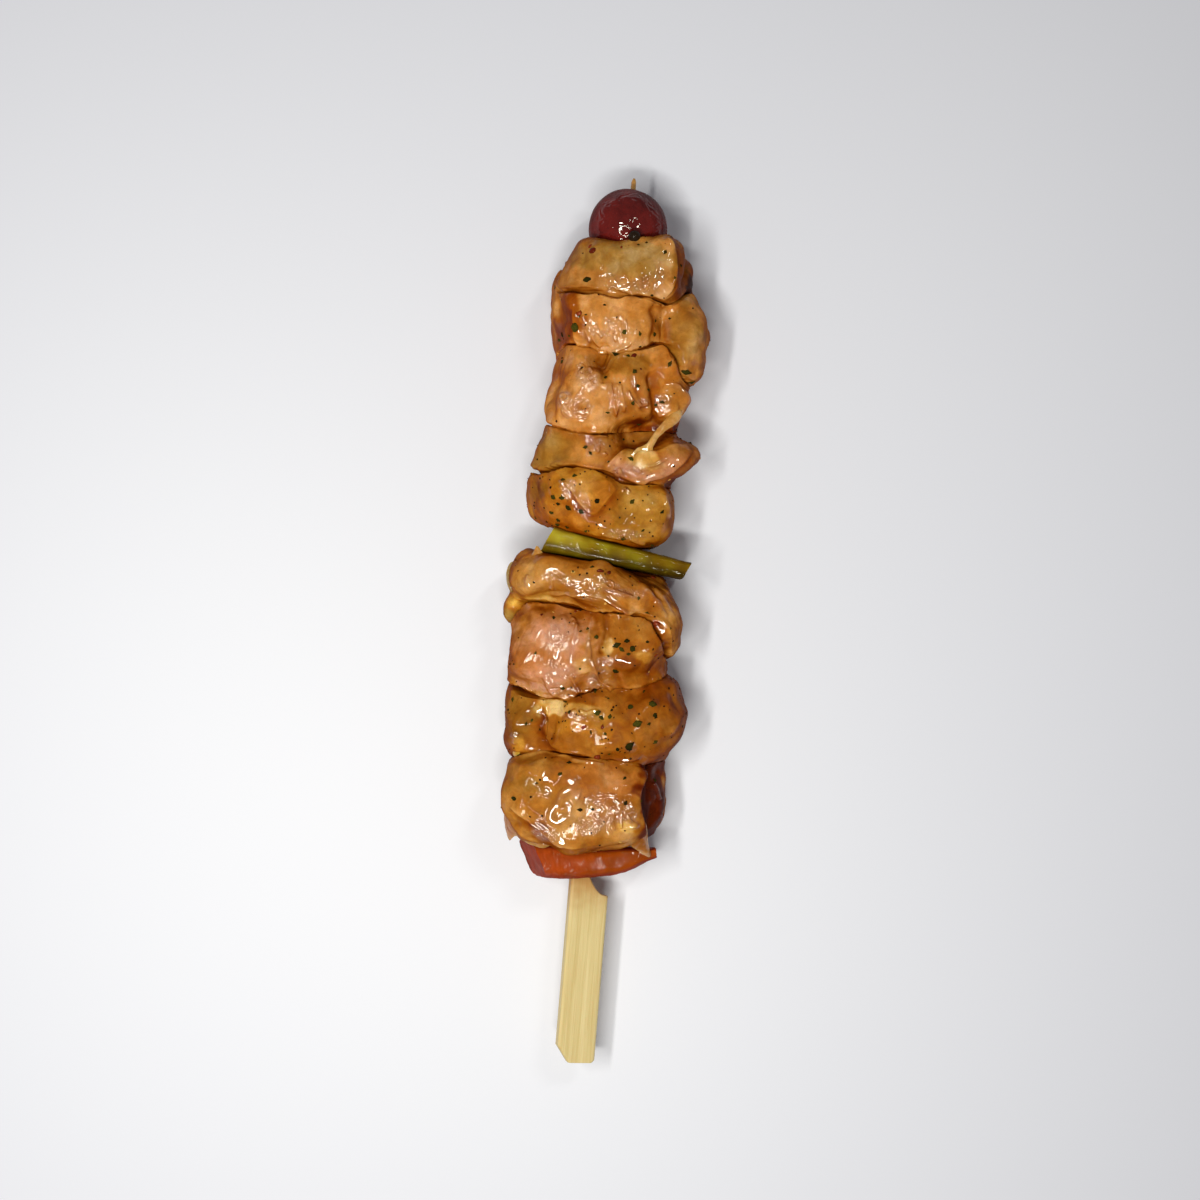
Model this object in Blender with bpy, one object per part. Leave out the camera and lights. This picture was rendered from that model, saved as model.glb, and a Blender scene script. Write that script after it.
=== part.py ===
"""Raw marinated chicken kebab, threaded on a flat-handled bamboo skewer and lying down.

Millimetres are used for every named size and turned into metres where a mesh is made.
The skewer's shaft runs along Y through x = 0: its point is at +Y and its flat handle at -Y.
+Z is up and the meat lies on z = 0.
"""

import math
from dataclasses import dataclass

import bmesh
import bpy
import numpy as np
from mathutils import Matrix, Vector

MM = 0.001

# The skewer: a slim square shaft that widens into a flat handle on its right side.
SKEWER_LENGTH = 250.8
SHAFT_HEIGHT = 16.5
SHAFT_WIDTH = 3.2
TIP_WIDTH = 1.1
TIP_TAPER = 26.0
HANDLE_WIDTH = 11.2
HANDLE_THICKNESS = 3.2
HANDLE_LENGTH = 47.4
SHOULDER_LENGTH = 18.0
SHOULDER_STEPS = 6
END_BEVEL_LEFT = 3.4
END_BEVEL_RIGHT = 0.7
EDGE_BEVEL = 0.45
EDGE_BEVEL_SHARE = 0.3
CORNER_CUT_SLOPE = 1.4
TIP_ROUNDING = 0.6
TIP_END_SHARE = 0.4
SKEWER_ROLL = 17.0

# Spaces that neighbours keep, and how softly the folds of one piece run together.
GAP = 0.4
HOLE_CLEARANCE = 0.35
FOLD_SOFTNESS = 0.9

# Uneven swells of the meat: crossing waves of seeded directions and lengths.
SWELL_DEPTH = 0.9
SWELL_WAVES = 7
SWELL_LENGTHS = (11.0, 25.0)
SWELL_SEED = 5

# Sampling of the lumps of food: rings from one end of the shaft direction to the other.
RINGS = 15
AROUND = 24
GRAPE_RINGS = 11
GRAPE_AROUND = 18
REACH = 46.0
MARCH_STEPS = 92
BISECTIONS = 14
SAMPLE_STRETCH = (1.25, 1.0, 1.0)

# Flakes of herb and chilli that stick to the meat, and one peppercorn.
FLAKES_PER_PIECE = 7
FLAKE_TRIES = 400
FLAKE_SPACING = 8.5
FLAKE_LENGTH = (2.0, 3.2)
FLAKE_SLIMNESS = (0.55, 0.8)
FLAKE_PROUD = 0.45
FLAKE_SUNK = 0.9
FLAKE_SIDES = 6
FLAKE_CLEARANCE = 2.2
FLAKE_LOWEST = 9.0
FLAKE_SEED = 11
PEPPERCORN_RADIUS = 1.7
PEPPERCORN_PLACE = (1.4, 106.1)
PEPPERCORN_SEARCH_STEPS = 460
SLOPE_STEP = 0.4
BENEATH_FLOOR = -5.0
WELD = 0.02


@dataclass
class Lobe:
    """A rounded block: its middle, its half sizes, its turn in degrees and how square it is.

    bow bends it in plan, by that many millimetres along Y for each square millimetre along X.
    """

    at: tuple
    half: tuple
    yaw: float = 0.0
    square: float = 2.4
    bow: float = 0.0


@dataclass
class Strip:
    """A slab of pepper stood on edge across the skewer.

    The middle of its upper edge is the curve y = at + slope * x + bow * (x - crest) ** 2 from
    left to right. Pairs are values at the left and right ends. lean carries lower points
    toward -Y, by that many millimetres for each millimetre down, and skew slants the ends.
    flare is how far the left end reaches out at its foot.
    """

    left: float
    right: float
    at: float
    half_thickness: tuple
    low: tuple
    high: tuple
    slope: float = 0.0
    bow: float = 0.0
    crest: float = 0.0
    lean: float = 0.0
    skew: tuple = (0.0, 0.0)
    flare: float = 0.0
    corner: float = 1.5
    stations: int = 13

    def middle(self, x):
        return self.at + self.slope * x + self.bow * (x - self.crest) ** 2

    def heading(self, x):
        return self.slope + 2 * self.bow * (x - self.crest)

    def between(self, pair, x):
        share = (x - self.left) / (self.right - self.left)
        return pair[0] + (pair[1] - pair[0]) * share

    def reach_out(self, x, z):
        """How far -X a place is carried: most at the left end's foot, and none at the right."""
        high, low = self.between(self.high, x), self.between(self.low, x)
        return self.flare * (high - z) / (high - low) * self.between((1.0, 0.0), x) ** 2


CHICKEN = {
    "chicken_1": [
        Lobe((5.9, 98.7, 24.5), (8.9, 9.9, 10.6), yaw=3, square=3.4),
        Lobe((-6.6, 97.4, 22.6), (9.8, 9.6, 11.2), yaw=-10, square=2.8),
        Lobe((2.2, 96.8, 10.6), (17.2, 9.8, 11.4), yaw=2, square=2.6),
    ],
    "chicken_2": [
        Lobe((-2.4, 83.6, 24.0), (13.6, 8.4, 10.2), yaw=3, square=3.2),
        Lobe((17.2, 80.5, 16.0), (6.9, 12.4, 12.8), yaw=6, square=2.7),
        Lobe((-13.6, 86.2, 12.6), (6.2, 13.2, 12.2), yaw=4, square=2.4),
        Lobe((0.3, 81.0, 11.0), (17.6, 9.6, 11.8), square=2.6),
    ],
    "chicken_3": [
        Lobe((-7.6, 60.5, 22.0), (9.8, 10.2, 12.6), yaw=-10, square=2.3),
        Lobe((-10.2, 70.6, 21.0), (5.4, 6.6, 10.0), yaw=-16, square=2.3),
        Lobe((3.6, 64.8, 20.4), (9.6, 10.4, 13.0), square=2.3),
        Lobe((9.4, 72.4, 20.4), (6.6, 6.4, 9.4), yaw=10, square=2.4),
        Lobe((14.6, 62.6, 20.2), (5.4, 6.4, 8.6), yaw=-14, square=2.2),
        Lobe((1.1, 64.0, 11.0), (16.6, 10.2, 11.8), square=2.5),
    ],
    "chicken_4": [
        Lobe((-8.8, 46.6, 19.0), (11.4, 9.2, 11.6), yaw=8, square=2.4),
        Lobe((9.6, 44.4, 20.4), (14.8, 5.6, 9.4), yaw=18, square=2.8),
        Lobe((9.6, 45.8, 28.8), (3.0, 3.6, 2.2), yaw=-30, square=2.0),
        Lobe((1.2, 46.6, 11.0), (18.2, 9.6, 11.8), square=2.5),
    ],
    "chicken_5": [
        Lobe((0.6, 30.6, 20.4), (18.4, 9.2, 12.6), yaw=-3, square=3.0),
        Lobe((-17.6, 34.6, 15.6), (4.4, 6.4, 9.2), yaw=8, square=2.3),
        Lobe((-6.0, 35.0, 25.4), (11.6, 6.0, 8.6), yaw=-22, square=2.6),
        Lobe((-0.3, 31.0, 11.0), (17.4, 8.8, 11.8), square=2.5),
    ],
    "chicken_6": [
        Lobe((-4.4, 10.4, 22.4), (21.4, 7.4, 11.4), yaw=-8, square=2.6, bow=-0.005),
        Lobe((16.4, 1.6, 17.0), (6.4, 11.6, 12.6), yaw=16, square=2.5),
        Lobe((-19.4, 14.0, 18.0), (5.8, 5.0, 9.0), yaw=-14, square=2.3),
        Lobe((-21.8, 0.9, 15.0), (4.8, 5.0, 6.6), square=2.0),
        Lobe((-1.6, 8.0, 10.8), (20.6, 9.4, 11.6), square=2.5),
    ],
    "chicken_7": [
        Lobe((-9.4, -9.4, 22.6), (14.2, 13.2, 12.0), yaw=-8, square=2.4),
        Lobe((8.2, -6.4, 20.4), (12.2, 12.2, 12.8), square=2.4),
        Lobe((-0.9, -7.4, 10.8), (20.0, 12.2, 11.6), square=2.5),
    ],
    "chicken_8": [
        Lobe((6.0, -28.4, 20.8), (19.6, 10.8, 12.6), yaw=2, square=2.5),
        Lobe((-16.4, -28.8, 15.4), (7.4, 11.6, 12.4), yaw=3, square=2.6),
        Lobe((17.6, -25.4, 16.0), (8.2, 12.2, 12.6), yaw=-4, square=2.4),
        Lobe((2.4, -28.6, 10.8), (21.6, 10.8, 11.6), square=2.5),
    ],
    "chicken_9": [
        Lobe((-2.4, -50.8, 22.6), (19.2, 12.6, 11.6), yaw=2, square=3.6, bow=0.002),
        Lobe((15.0, -49.5, 11.2), (8.8, 12.4, 10.6), yaw=-4, square=2.4),
        Lobe((1.2, -50.6, 11.0), (19.8, 11.6, 11.8), square=2.6),
    ],
}
GRAPE = [Lobe((-0.5, 110.4, 19.0), (11.1, 11.3, 10.9), yaw=20, square=2.0)]
END_ROUNDING = 0.55
END_TRIM = 0.5
CORNER_SHARE = 0.8
GREEN_PEPPER = Strip(
    left=-15.6, right=23.8, at=19.1, slope=-0.138, half_thickness=(3.5, 2.4),
    low=(9.5, 7.5), high=(30.6, 28.2), skew=(0.33, 0.33),
)
RED_PEPPER = Strip(
    left=-10.4, right=21.9, at=-67.8, bow=0.006, crest=-3.0, half_thickness=(5.0, 3.0),
    low=(3.2, 5.5), high=(27.0, 22.0), lean=0.12, skew=(-0.62, 0.1), flare=4.8, corner=1.9,
    stations=15,
)
STRIPS = {"green_pepper": GREEN_PEPPER, "red_pepper": RED_PEPPER}
LUMPS = {**CHICKEN, "red_grape": GRAPE}

# Which hard or overlying pieces press a dent into each piece of meat.
PRESSED_BY = {
    "chicken_1": ["red_grape"],
    "chicken_2": ["chicken_1"],
    "chicken_3": ["chicken_2"],
    "chicken_4": ["chicken_3"],
    "chicken_5": ["chicken_4", "green_pepper"],
    "chicken_6": ["green_pepper"],
    "chicken_7": ["chicken_6"],
    "chicken_8": ["chicken_7"],
    "chicken_9": ["chicken_8", "red_pepper"],
}

# A strand of tendon that hangs from the third piece down to just short of the fourth.
STRAND_PATH = [(15.4, 60.4, 23.5), (14.2, 56.6, 27.4), (12.3, 53.2, 30.0), (11.2, 51.0, 31.6)]
STRAND_RADIUS = (2.1, 0.8)
STRAND_SIDES = 8
STRAND_STATIONS = 8

# Colour and roughness of each kind of surface.
FINISHES = {
    "chicken": ((0.56, 0.30, 0.11), 0.28),
    "grape": ((0.16, 0.02, 0.02), 0.15),
    "green": ((0.22, 0.23, 0.03), 0.25),
    "red": ((0.48, 0.07, 0.02), 0.25),
    "bamboo": ((0.75, 0.60, 0.32), 0.5),
}


def material(kind):
    """The plain surface of one kind, made once and shared."""
    found = bpy.data.materials.get(kind)
    if found:
        return found
    colour, roughness = FINISHES[kind]
    made = bpy.data.materials.new(kind)
    made.use_nodes = True
    shader = made.node_tree.nodes["Principled BSDF"]
    shader.inputs["Base Color"].default_value = (*colour, 1.0)
    shader.inputs["Roughness"].default_value = roughness
    shader.inputs["Metallic"].default_value = 0.0
    return made


def lobe_distance(points, lobe):
    """How far points lie outside a lobe, along the line to its middle: |q| (1 - 1 / s)."""
    turn = np.array(Matrix.Rotation(math.radians(lobe.yaw), 3, "Z"))
    local = (points - np.array(lobe.at)) @ turn
    local[..., 1] -= lobe.bow * local[..., 0] ** 2
    share = (np.abs(local / np.array(lobe.half)) ** lobe.square).sum(-1) ** (1 / lobe.square)
    return np.linalg.norm(local, axis=-1) * (1 - 1 / np.maximum(share, 1e-6))


def lump_distance(points, lobes):
    """The lobes run together: a soft minimum of their distances."""
    each = np.stack([lobe_distance(points, lobe) for lobe in lobes])
    joined = -FOLD_SOFTNESS * np.log(np.exp(-each / FOLD_SOFTNESS).sum(0))
    return joined if lobes is GRAPE else joined - swell(points)


def swell(points):
    """How far the meat stands out at a place: the mean of a few crossing waves."""
    draw = np.random.default_rng(SWELL_SEED)
    total = 0.0
    for _ in range(SWELL_WAVES):
        heading = draw.normal(size=3)
        heading /= np.linalg.norm(heading)
        turns = points @ heading / draw.uniform(*SWELL_LENGTHS) + draw.uniform()
        total = total + np.sin(2 * math.pi * turns)
    return SWELL_DEPTH * total / math.sqrt(SWELL_WAVES)


def strip_distance(points, strip):
    """How far points lie outside a strip: the largest of the distances past its six sides."""
    x, y, z = points[..., 0], points[..., 1], points[..., 2]
    high = strip.between(strip.high, x)
    across = (y - strip.middle(x) + strip.lean * (high - z)) / np.hypot(1, strip.heading(x))
    past = [
        np.abs(across) - strip.between(strip.half_thickness, x),
        z - high,
        strip.between(strip.low, x) - z,
        strip.left - strip.reach_out(strip.left, z) - x,
        x - strip.right,
    ]
    return np.max(past, axis=0)


def others_distance(points, name):
    """How far points lie outside every piece of food but the named one."""
    each = [lump_distance(points, lobes) for other, lobes in LUMPS.items() if other != name]
    each += [strip_distance(points, strip) for strip in STRIPS.values()]
    return np.min(each, axis=0)


def middle_of(lobes):
    """The mean of the lobes' middles, weighted by size, from which the skin is sampled."""
    weight = np.array([np.prod(lobe.half) for lobe in lobes])
    places = np.array([lobe.at for lobe in lobes])
    return (places * weight[:, None]).sum(0) / weight.sum()


def directions(rings, around):
    """Unit directions on rings round Y, from +Y to -Y, with the two poles last."""
    along = np.linspace(0, math.pi, rings + 2)[1:-1]
    turn = np.linspace(0, 2 * math.pi, around, endpoint=False)
    along, turn = np.meshgrid(along, turn, indexing="ij")
    ring = np.stack(
        [np.sin(along) * np.sin(turn), np.cos(along), np.sin(along) * np.cos(turn)], -1
    ).reshape(-1, 3)
    rays = np.concatenate([ring, [(0, 1, 0), (0, -1, 0)]]) * np.array(SAMPLE_STRETCH)
    return rays / np.linalg.norm(rays, axis=1, keepdims=True)


def skin_radius(lobes, start, rays, proud, floor):
    """The outermost place on each ray that is proud of the lump by no more than that distance."""

    def outside(radius):
        places = start + rays * radius[..., None]
        return np.maximum(lump_distance(places, lobes) - proud, floor - places[..., 2])

    radii = np.linspace(0, REACH, MARCH_STEPS)[:, None] * np.ones(len(rays))
    inside = np.stack([outside(radius) for radius in radii]) < 0
    last = MARCH_STEPS - 1 - np.argmax(inside[::-1], axis=0)
    low = radii[last, np.arange(len(rays))]
    high = low + REACH / (MARCH_STEPS - 1)
    for _ in range(BISECTIONS):
        centre = (low + high) / 2
        within = outside(centre) < 0
        low = np.where(within, centre, low)
        high = np.where(within, high, centre)
    return low


def lump_mesh(name, lobes, proud=0.0, floor=0.0):
    """A closed skin over the lobes: a grid of rings capped at its two poles."""
    rings, around = (GRAPE_RINGS, GRAPE_AROUND) if lobes is GRAPE else (RINGS, AROUND)
    start = middle_of(lobes)
    rays = directions(rings, around)
    places = start + rays * skin_radius(lobes, start, rays, proud, floor)[:, None]
    first, last = len(places) - 2, len(places) - 1
    faces = []
    for ring in range(rings - 1):
        for side in range(around):
            after = (side + 1) % around
            a, b = ring * around + side, ring * around + after
            faces.append((a, a + around, b + around, b))
    for side in range(around):
        after = (side + 1) % around
        faces.append((first, side, after))
        faces.append((last, (rings - 1) * around + after, (rings - 1) * around + side))
    return mesh_from(name, places, faces)


def tube_faces(stations, sides):
    """Faces of a tube of closed rings, with a face over each end."""
    faces = [tuple(range(sides)), tuple((stations - 1) * sides + s for s in range(sides))]
    for station in range(stations - 1):
        for side in range(sides):
            a = station * sides + side
            b = station * sides + (side + 1) % sides
            faces.append((a, b, b + sides, a + sides))
    return faces


def rounded_section(half_width, half_height, corner):
    """Points round a rectangle whose corners are quarter circles of three points."""
    points = []
    for quarter, (side, up) in enumerate([(1, 1), (-1, 1), (-1, -1), (1, -1)]):
        for step in range(3):
            angle = math.radians(90 * quarter + 45 * step)
            points.append((
                side * (half_width - corner) + corner * math.cos(angle),
                up * (half_height - corner) + corner * math.sin(angle),
            ))
    return points


def strip_mesh(name, strip, proud=0.0):
    """A rounded section carried along the strip's middle line, smaller at its two ends."""
    left, right = strip.left - proud, strip.right + proud
    ends = strip.corner * END_ROUNDING
    xs = np.concatenate([[left], np.linspace(left + ends, right - ends, strip.stations - 2), [right]])
    places = []
    for x in xs:
        trim = strip.corner * END_TRIM if x in (left, right) else 0.0
        half = strip.between(strip.half_thickness, x) + proud - trim
        high = strip.between(strip.high, x)
        low = strip.between(strip.low, x)
        half_height = (high - low) / 2 + proud - trim
        corner = min(strip.corner, half * CORNER_SHARE)
        along = Vector((1, strip.heading(x))).normalized()
        for across, up in rounded_section(half, half_height, corner):
            z = (high + low) / 2 + up
            places.append((
                x - along.y * across + strip.between(strip.skew, x) * across - strip.reach_out(x, z),
                strip.middle(x) + along.x * across - strip.lean * (high - z),
                z,
            ))
    return mesh_from(name, places, tube_faces(len(xs), len(places) // len(xs)))


def mesh_from(name, places, faces):
    """A mesh with its places given in millimetres, split into triangles and facing out."""
    mesh = bpy.data.meshes.new(name)
    mesh.from_pydata([tuple(float(c) for c in place) for place in np.asarray(places) * MM], [], faces)
    work = bmesh.new()
    work.from_mesh(mesh)
    bmesh.ops.triangulate(work, faces=work.faces)
    bmesh.ops.recalc_face_normals(work, faces=work.faces)
    work.to_mesh(mesh)
    work.free()
    return mesh


def add_object(name, mesh, kind=None):
    made = bpy.data.objects.new(name, mesh)
    bpy.context.scene.collection.objects.link(made)
    if kind:
        mesh.materials.append(material(kind))
    return made


def boolean(item, operation, others):
    """Cuts the others from an object, or joins them to it, and removes them."""
    group = bpy.data.collections.new("operands")
    bpy.context.scene.collection.children.link(group)
    for other in others:
        bpy.context.scene.collection.objects.unlink(other)
        group.objects.link(other)
    modifier = item.modifiers.new(operation.lower(), "BOOLEAN")
    modifier.operation = operation
    modifier.operand_type = "COLLECTION"
    modifier.collection = group
    modifier.solver = "EXACT"
    bpy.context.view_layer.update()
    graph = bpy.context.evaluated_depsgraph_get()
    made = bpy.data.meshes.new_from_object(item.evaluated_get(graph))
    item.modifiers.clear()
    item.data = made
    for other in others:
        bpy.data.objects.remove(other)
    bpy.data.collections.remove(group)


def keep_main_body(item):
    """Drops scraps that a cut left loose, and melts slivers shorter than a weld."""
    work = bmesh.new()
    work.from_mesh(item.data)
    bmesh.ops.remove_doubles(work, verts=work.verts, dist=WELD * MM)
    bodies = []
    unseen = set(work.verts)
    while unseen:
        stack = [unseen.pop()]
        body = set(stack)
        while stack:
            for edge in stack.pop().link_edges:
                for vert in edge.verts:
                    if vert in unseen:
                        unseen.discard(vert)
                        body.add(vert)
                        stack.append(vert)
        bodies.append(body)
    bodies.sort(key=len, reverse=True)
    scraps = [vert for body in bodies[1:] for vert in body]
    bmesh.ops.delete(work, geom=scraps, context="VERTS")
    bmesh.ops.triangulate(work, faces=work.faces)
    work.to_mesh(item.data)
    work.free()


def skewer_stations():
    """(y, left x, right x, half thickness) along the skewer, from the handle's end to the point.

    The shoulder follows a quarter circle, and the point narrows evenly.
    """
    end = -SKEWER_LENGTH / 2
    left = -SHAFT_WIDTH / 2
    right = left + HANDLE_WIDTH
    slim = SHAFT_WIDTH / 2
    thick = HANDLE_THICKNESS / 2
    stations = [
        (end, left + END_BEVEL_LEFT, right - END_BEVEL_RIGHT, thick),
        (end + END_BEVEL_RIGHT, left + END_BEVEL_LEFT - END_BEVEL_RIGHT, right, thick),
        (end + CORNER_CUT_SLOPE * END_BEVEL_LEFT, left, right, thick),
    ]
    top = end + HANDLE_LENGTH
    for step in range(SHOULDER_STEPS + 1):
        angle = step / SHOULDER_STEPS * math.pi / 2
        reach = (right - slim) * (1 - math.sin(angle))
        stations.append((top + SHOULDER_LENGTH * (1 - math.cos(angle)), left, slim + reach, thick))
    point = SKEWER_LENGTH / 2
    tip = TIP_WIDTH / 2
    stations.append((point - TIP_TAPER, left, slim, slim))
    stations.append((point - TIP_WIDTH * TIP_ROUNDING, -tip, tip, tip))
    stations.append((point, -tip * TIP_END_SHARE, tip * TIP_END_SHARE, tip * TIP_END_SHARE))
    return stations


def skewer_mesh(name, proud=0.0):
    """A bevelled rectangle carried along the stations, rolled a little round the shaft."""
    places = []
    for y, left, right, thick in skewer_stations():
        left, right, thick = left - proud, right + proud, thick + proud
        cut = min(EDGE_BEVEL, EDGE_BEVEL_SHARE * thick, EDGE_BEVEL_SHARE * (right - left))
        places += [
            (left + cut, y, thick), (right - cut, y, thick),
            (right, y, thick - cut), (right, y, cut - thick),
            (right - cut, y, -thick), (left + cut, y, -thick),
            (left, y, cut - thick), (left, y, thick - cut),
        ]
    sides = 8
    roll = np.array(Matrix.Rotation(math.radians(SKEWER_ROLL), 3, "Y"))
    placed = np.array(places) @ roll.T + np.array([0, 0, SHAFT_HEIGHT])
    return mesh_from(name, placed, tube_faces(len(places) // sides, sides))


def smooth_line(points, count):
    """Evenly numbered places on the Catmull-Rom curve through the points."""
    line = []
    for share in np.linspace(0, len(points) - 1, count):
        leg = min(int(share), len(points) - 2)
        a = points[max(leg - 1, 0)]
        b, c = points[leg], points[leg + 1]
        d = points[min(leg + 2, len(points) - 1)]
        t = share - leg
        bend = (2 * a - 5 * b + 4 * c - d) * t**2 + (3 * b - a - 3 * c + d) * t**3
        line.append(0.5 * (2 * b + (c - a) * t + bend))
    return line


def strand_mesh(name):
    """A tapering tube along a smooth curve through the strand's points."""
    line = smooth_line([Vector(point) for point in STRAND_PATH], STRAND_STATIONS)
    places = []
    for step, place in enumerate(line):
        ahead = line[min(step + 1, len(line) - 1)] - line[max(step - 1, 0)]
        turn = ahead.to_track_quat("Z", "Y")
        share = step / (len(line) - 1)
        radius = STRAND_RADIUS[0] * (1 - share) + STRAND_RADIUS[1] * share
        for side in range(STRAND_SIDES):
            angle = 2 * math.pi * side / STRAND_SIDES
            places.append(place + turn @ Vector((radius * math.cos(angle), radius * math.sin(angle), 0)))
    return mesh_from(name, places, tube_faces(STRAND_STATIONS, STRAND_SIDES))


def skin_normal(place, lobes):
    """The way out of a lump at a place: the slope of its distance."""
    shifts = np.eye(3) * SLOPE_STEP
    rise = lump_distance(place + shifts, lobes) - lump_distance(place - shifts, lobes)
    return Vector(rise).normalized()


def flake_spots(name, lobes, draw):
    """Places on the upper skin, well apart from each other and clear of the other pieces."""
    start = middle_of(lobes)
    rays = draw.normal(size=(FLAKE_TRIES, 3))
    rays /= np.linalg.norm(rays, axis=1, keepdims=True)
    spots = start + rays * skin_radius(lobes, start, rays, 0.0, 0.0)[:, None]
    clear = others_distance(spots, name)
    chosen = []
    for spot, room in zip(spots, clear):
        apart = all(np.linalg.norm(spot - other) > FLAKE_SPACING for other in chosen)
        if room > FLAKE_CLEARANCE and spot[2] > FLAKE_LOWEST and apart:
            chosen.append(spot)
        if len(chosen) == FLAKES_PER_PIECE:
            break
    return chosen


def flake_mesh(name, spot, normal, draw):
    """A thin uneven leaf lying on the skin, half sunk in it."""
    length = draw.uniform(*FLAKE_LENGTH) / 2
    width = length * draw.uniform(*FLAKE_SLIMNESS)
    spin = Matrix.Rotation(draw.uniform(0, 2 * math.pi), 4, "Z").to_quaternion()
    turn = normal.to_track_quat("Z", "Y") @ spin
    uneven = draw.uniform(0.8, 1.1, FLAKE_SIDES)
    places = []
    for up in (-FLAKE_SUNK, FLAKE_PROUD):
        for side in range(FLAKE_SIDES):
            angle = 2 * math.pi * side / FLAKE_SIDES
            reach = uneven[side]
            local = Vector((length * reach * math.cos(angle), width * reach * math.sin(angle), up))
            places.append(Vector(spot) + turn @ local)
    return mesh_from(name, places, tube_faces(2, FLAKE_SIDES))


def peppercorn_mesh(name):
    """A small ball that lies on the first piece of meat, a third of it sunk in."""
    x, y = PEPPERCORN_PLACE
    heights = np.linspace(0, REACH, PEPPERCORN_SEARCH_STEPS)
    column = np.stack([np.full_like(heights, x), np.full_like(heights, y), heights], -1)
    top = heights[lump_distance(column, CHICKEN["chicken_1"]) < 0].max()
    mesh = bpy.data.meshes.new(name)
    work = bmesh.new()
    bmesh.ops.create_uvsphere(work, u_segments=7, v_segments=5, radius=PEPPERCORN_RADIUS * MM)
    bmesh.ops.translate(work, verts=work.verts, vec=Vector((x, y, top + PEPPERCORN_RADIUS / 3)) * MM)
    bmesh.ops.triangulate(work, faces=work.faces)
    work.to_mesh(mesh)
    work.free()
    return mesh


def press(item):
    """Cuts the skewer's hole, and the dents of the pieces that press on this one."""
    cutters = [add_object("cut_skewer", skewer_mesh("cut_skewer", HOLE_CLEARANCE))]
    for other in PRESSED_BY.get(item.name, []):
        if other in STRIPS:
            cutter = strip_mesh("cut_" + other, STRIPS[other], GAP)
        else:
            cutter = lump_mesh("cut_" + other, LUMPS[other], GAP, BENEATH_FLOOR)
        cutters.append(add_object("cut_" + other, cutter))
    boolean(item, "DIFFERENCE", cutters)
    keep_main_body(item)


def top_with_spices(item, lobes, draw):
    """Joins the flakes, and what else lies on this piece of meat, to its skin."""
    spices = []
    for number, spot in enumerate(flake_spots(item.name, lobes, draw)):
        leaf = flake_mesh(f"flake_{number}", spot, skin_normal(spot, lobes), draw)
        spices.append(add_object(leaf.name, leaf))
    if item.name == "chicken_1":
        spices.append(add_object("peppercorn", peppercorn_mesh("peppercorn")))
    if item.name == "chicken_3":
        spices.append(add_object("strand", strand_mesh("strand")))
    boolean(item, "UNION", spices)
    keep_main_body(item)


def make_chicken():
    draw = np.random.default_rng(FLAKE_SEED)
    for name, lobes in CHICKEN.items():
        item = add_object(name, lump_mesh(name, lobes), "chicken")
        press(item)
        top_with_spices(item, lobes, draw)


def make_fruit_and_peppers():
    press(add_object("red_grape", lump_mesh("red_grape", GRAPE), "grape"))
    press(add_object("green_pepper", strip_mesh("green_pepper", GREEN_PEPPER), "green"))
    press(add_object("red_pepper", strip_mesh("red_pepper", RED_PEPPER), "red"))


def start_clean():
    for item in list(bpy.data.objects):
        bpy.data.objects.remove(item)


def main():
    start_clean()
    add_object("skewer", skewer_mesh("skewer"), "bamboo")
    make_fruit_and_peppers()
    make_chicken()


main()
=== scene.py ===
"""Looks of a raw marinated chicken kebab on a flat-handled bamboo skewer.

The file is laid out as an add-on: sizes and colours are properties, each group of pieces is
made by one operator, and a panel lists them. Lengths are millimetres unless a name says
otherwise, and become metres where a mesh is made. The skewer runs along Y, its point at +Y.
"""

import itertools
import math
from dataclasses import dataclass, field

import bpy
import numpy as np
from bpy.props import FloatProperty, FloatVectorProperty, IntProperty, PointerProperty
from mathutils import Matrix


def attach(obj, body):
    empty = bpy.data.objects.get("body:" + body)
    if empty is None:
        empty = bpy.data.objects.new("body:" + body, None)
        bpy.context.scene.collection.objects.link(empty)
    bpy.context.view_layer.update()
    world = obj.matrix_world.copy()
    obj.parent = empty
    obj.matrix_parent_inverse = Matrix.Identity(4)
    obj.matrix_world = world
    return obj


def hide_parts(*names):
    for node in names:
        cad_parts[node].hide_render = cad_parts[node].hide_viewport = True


bl_info = {
    "name": "Chicken Kebab",
    "version": (1, 0, 0),
    "blender": (4, 5, 0),
    "location": "3D View > Sidebar > Kebab",
    "description": "Makes a raw marinated chicken kebab round its packed solids",
    "category": "Add Mesh",
}

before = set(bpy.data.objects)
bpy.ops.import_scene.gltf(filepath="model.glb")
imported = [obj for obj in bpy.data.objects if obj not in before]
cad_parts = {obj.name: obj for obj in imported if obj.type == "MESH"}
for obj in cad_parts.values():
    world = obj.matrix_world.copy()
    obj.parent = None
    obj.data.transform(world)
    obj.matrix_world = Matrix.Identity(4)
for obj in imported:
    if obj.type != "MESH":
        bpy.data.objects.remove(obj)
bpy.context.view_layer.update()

MM = 0.001
BODY = "root"

# The camera looks straight down, a little turned, from the photograph's place.
PHOTO_MM_PER_PX = 0.2828
PHOTO_PIXELS = 1200
PHOTO_MIDDLE = (0.3, 5.7)
PHOTO_LEVEL = 17.0
PHOTO_TURN = 4.76
CAMERA_HEIGHT = 550.0
SENSOR_WIDTH = 36.0

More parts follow.
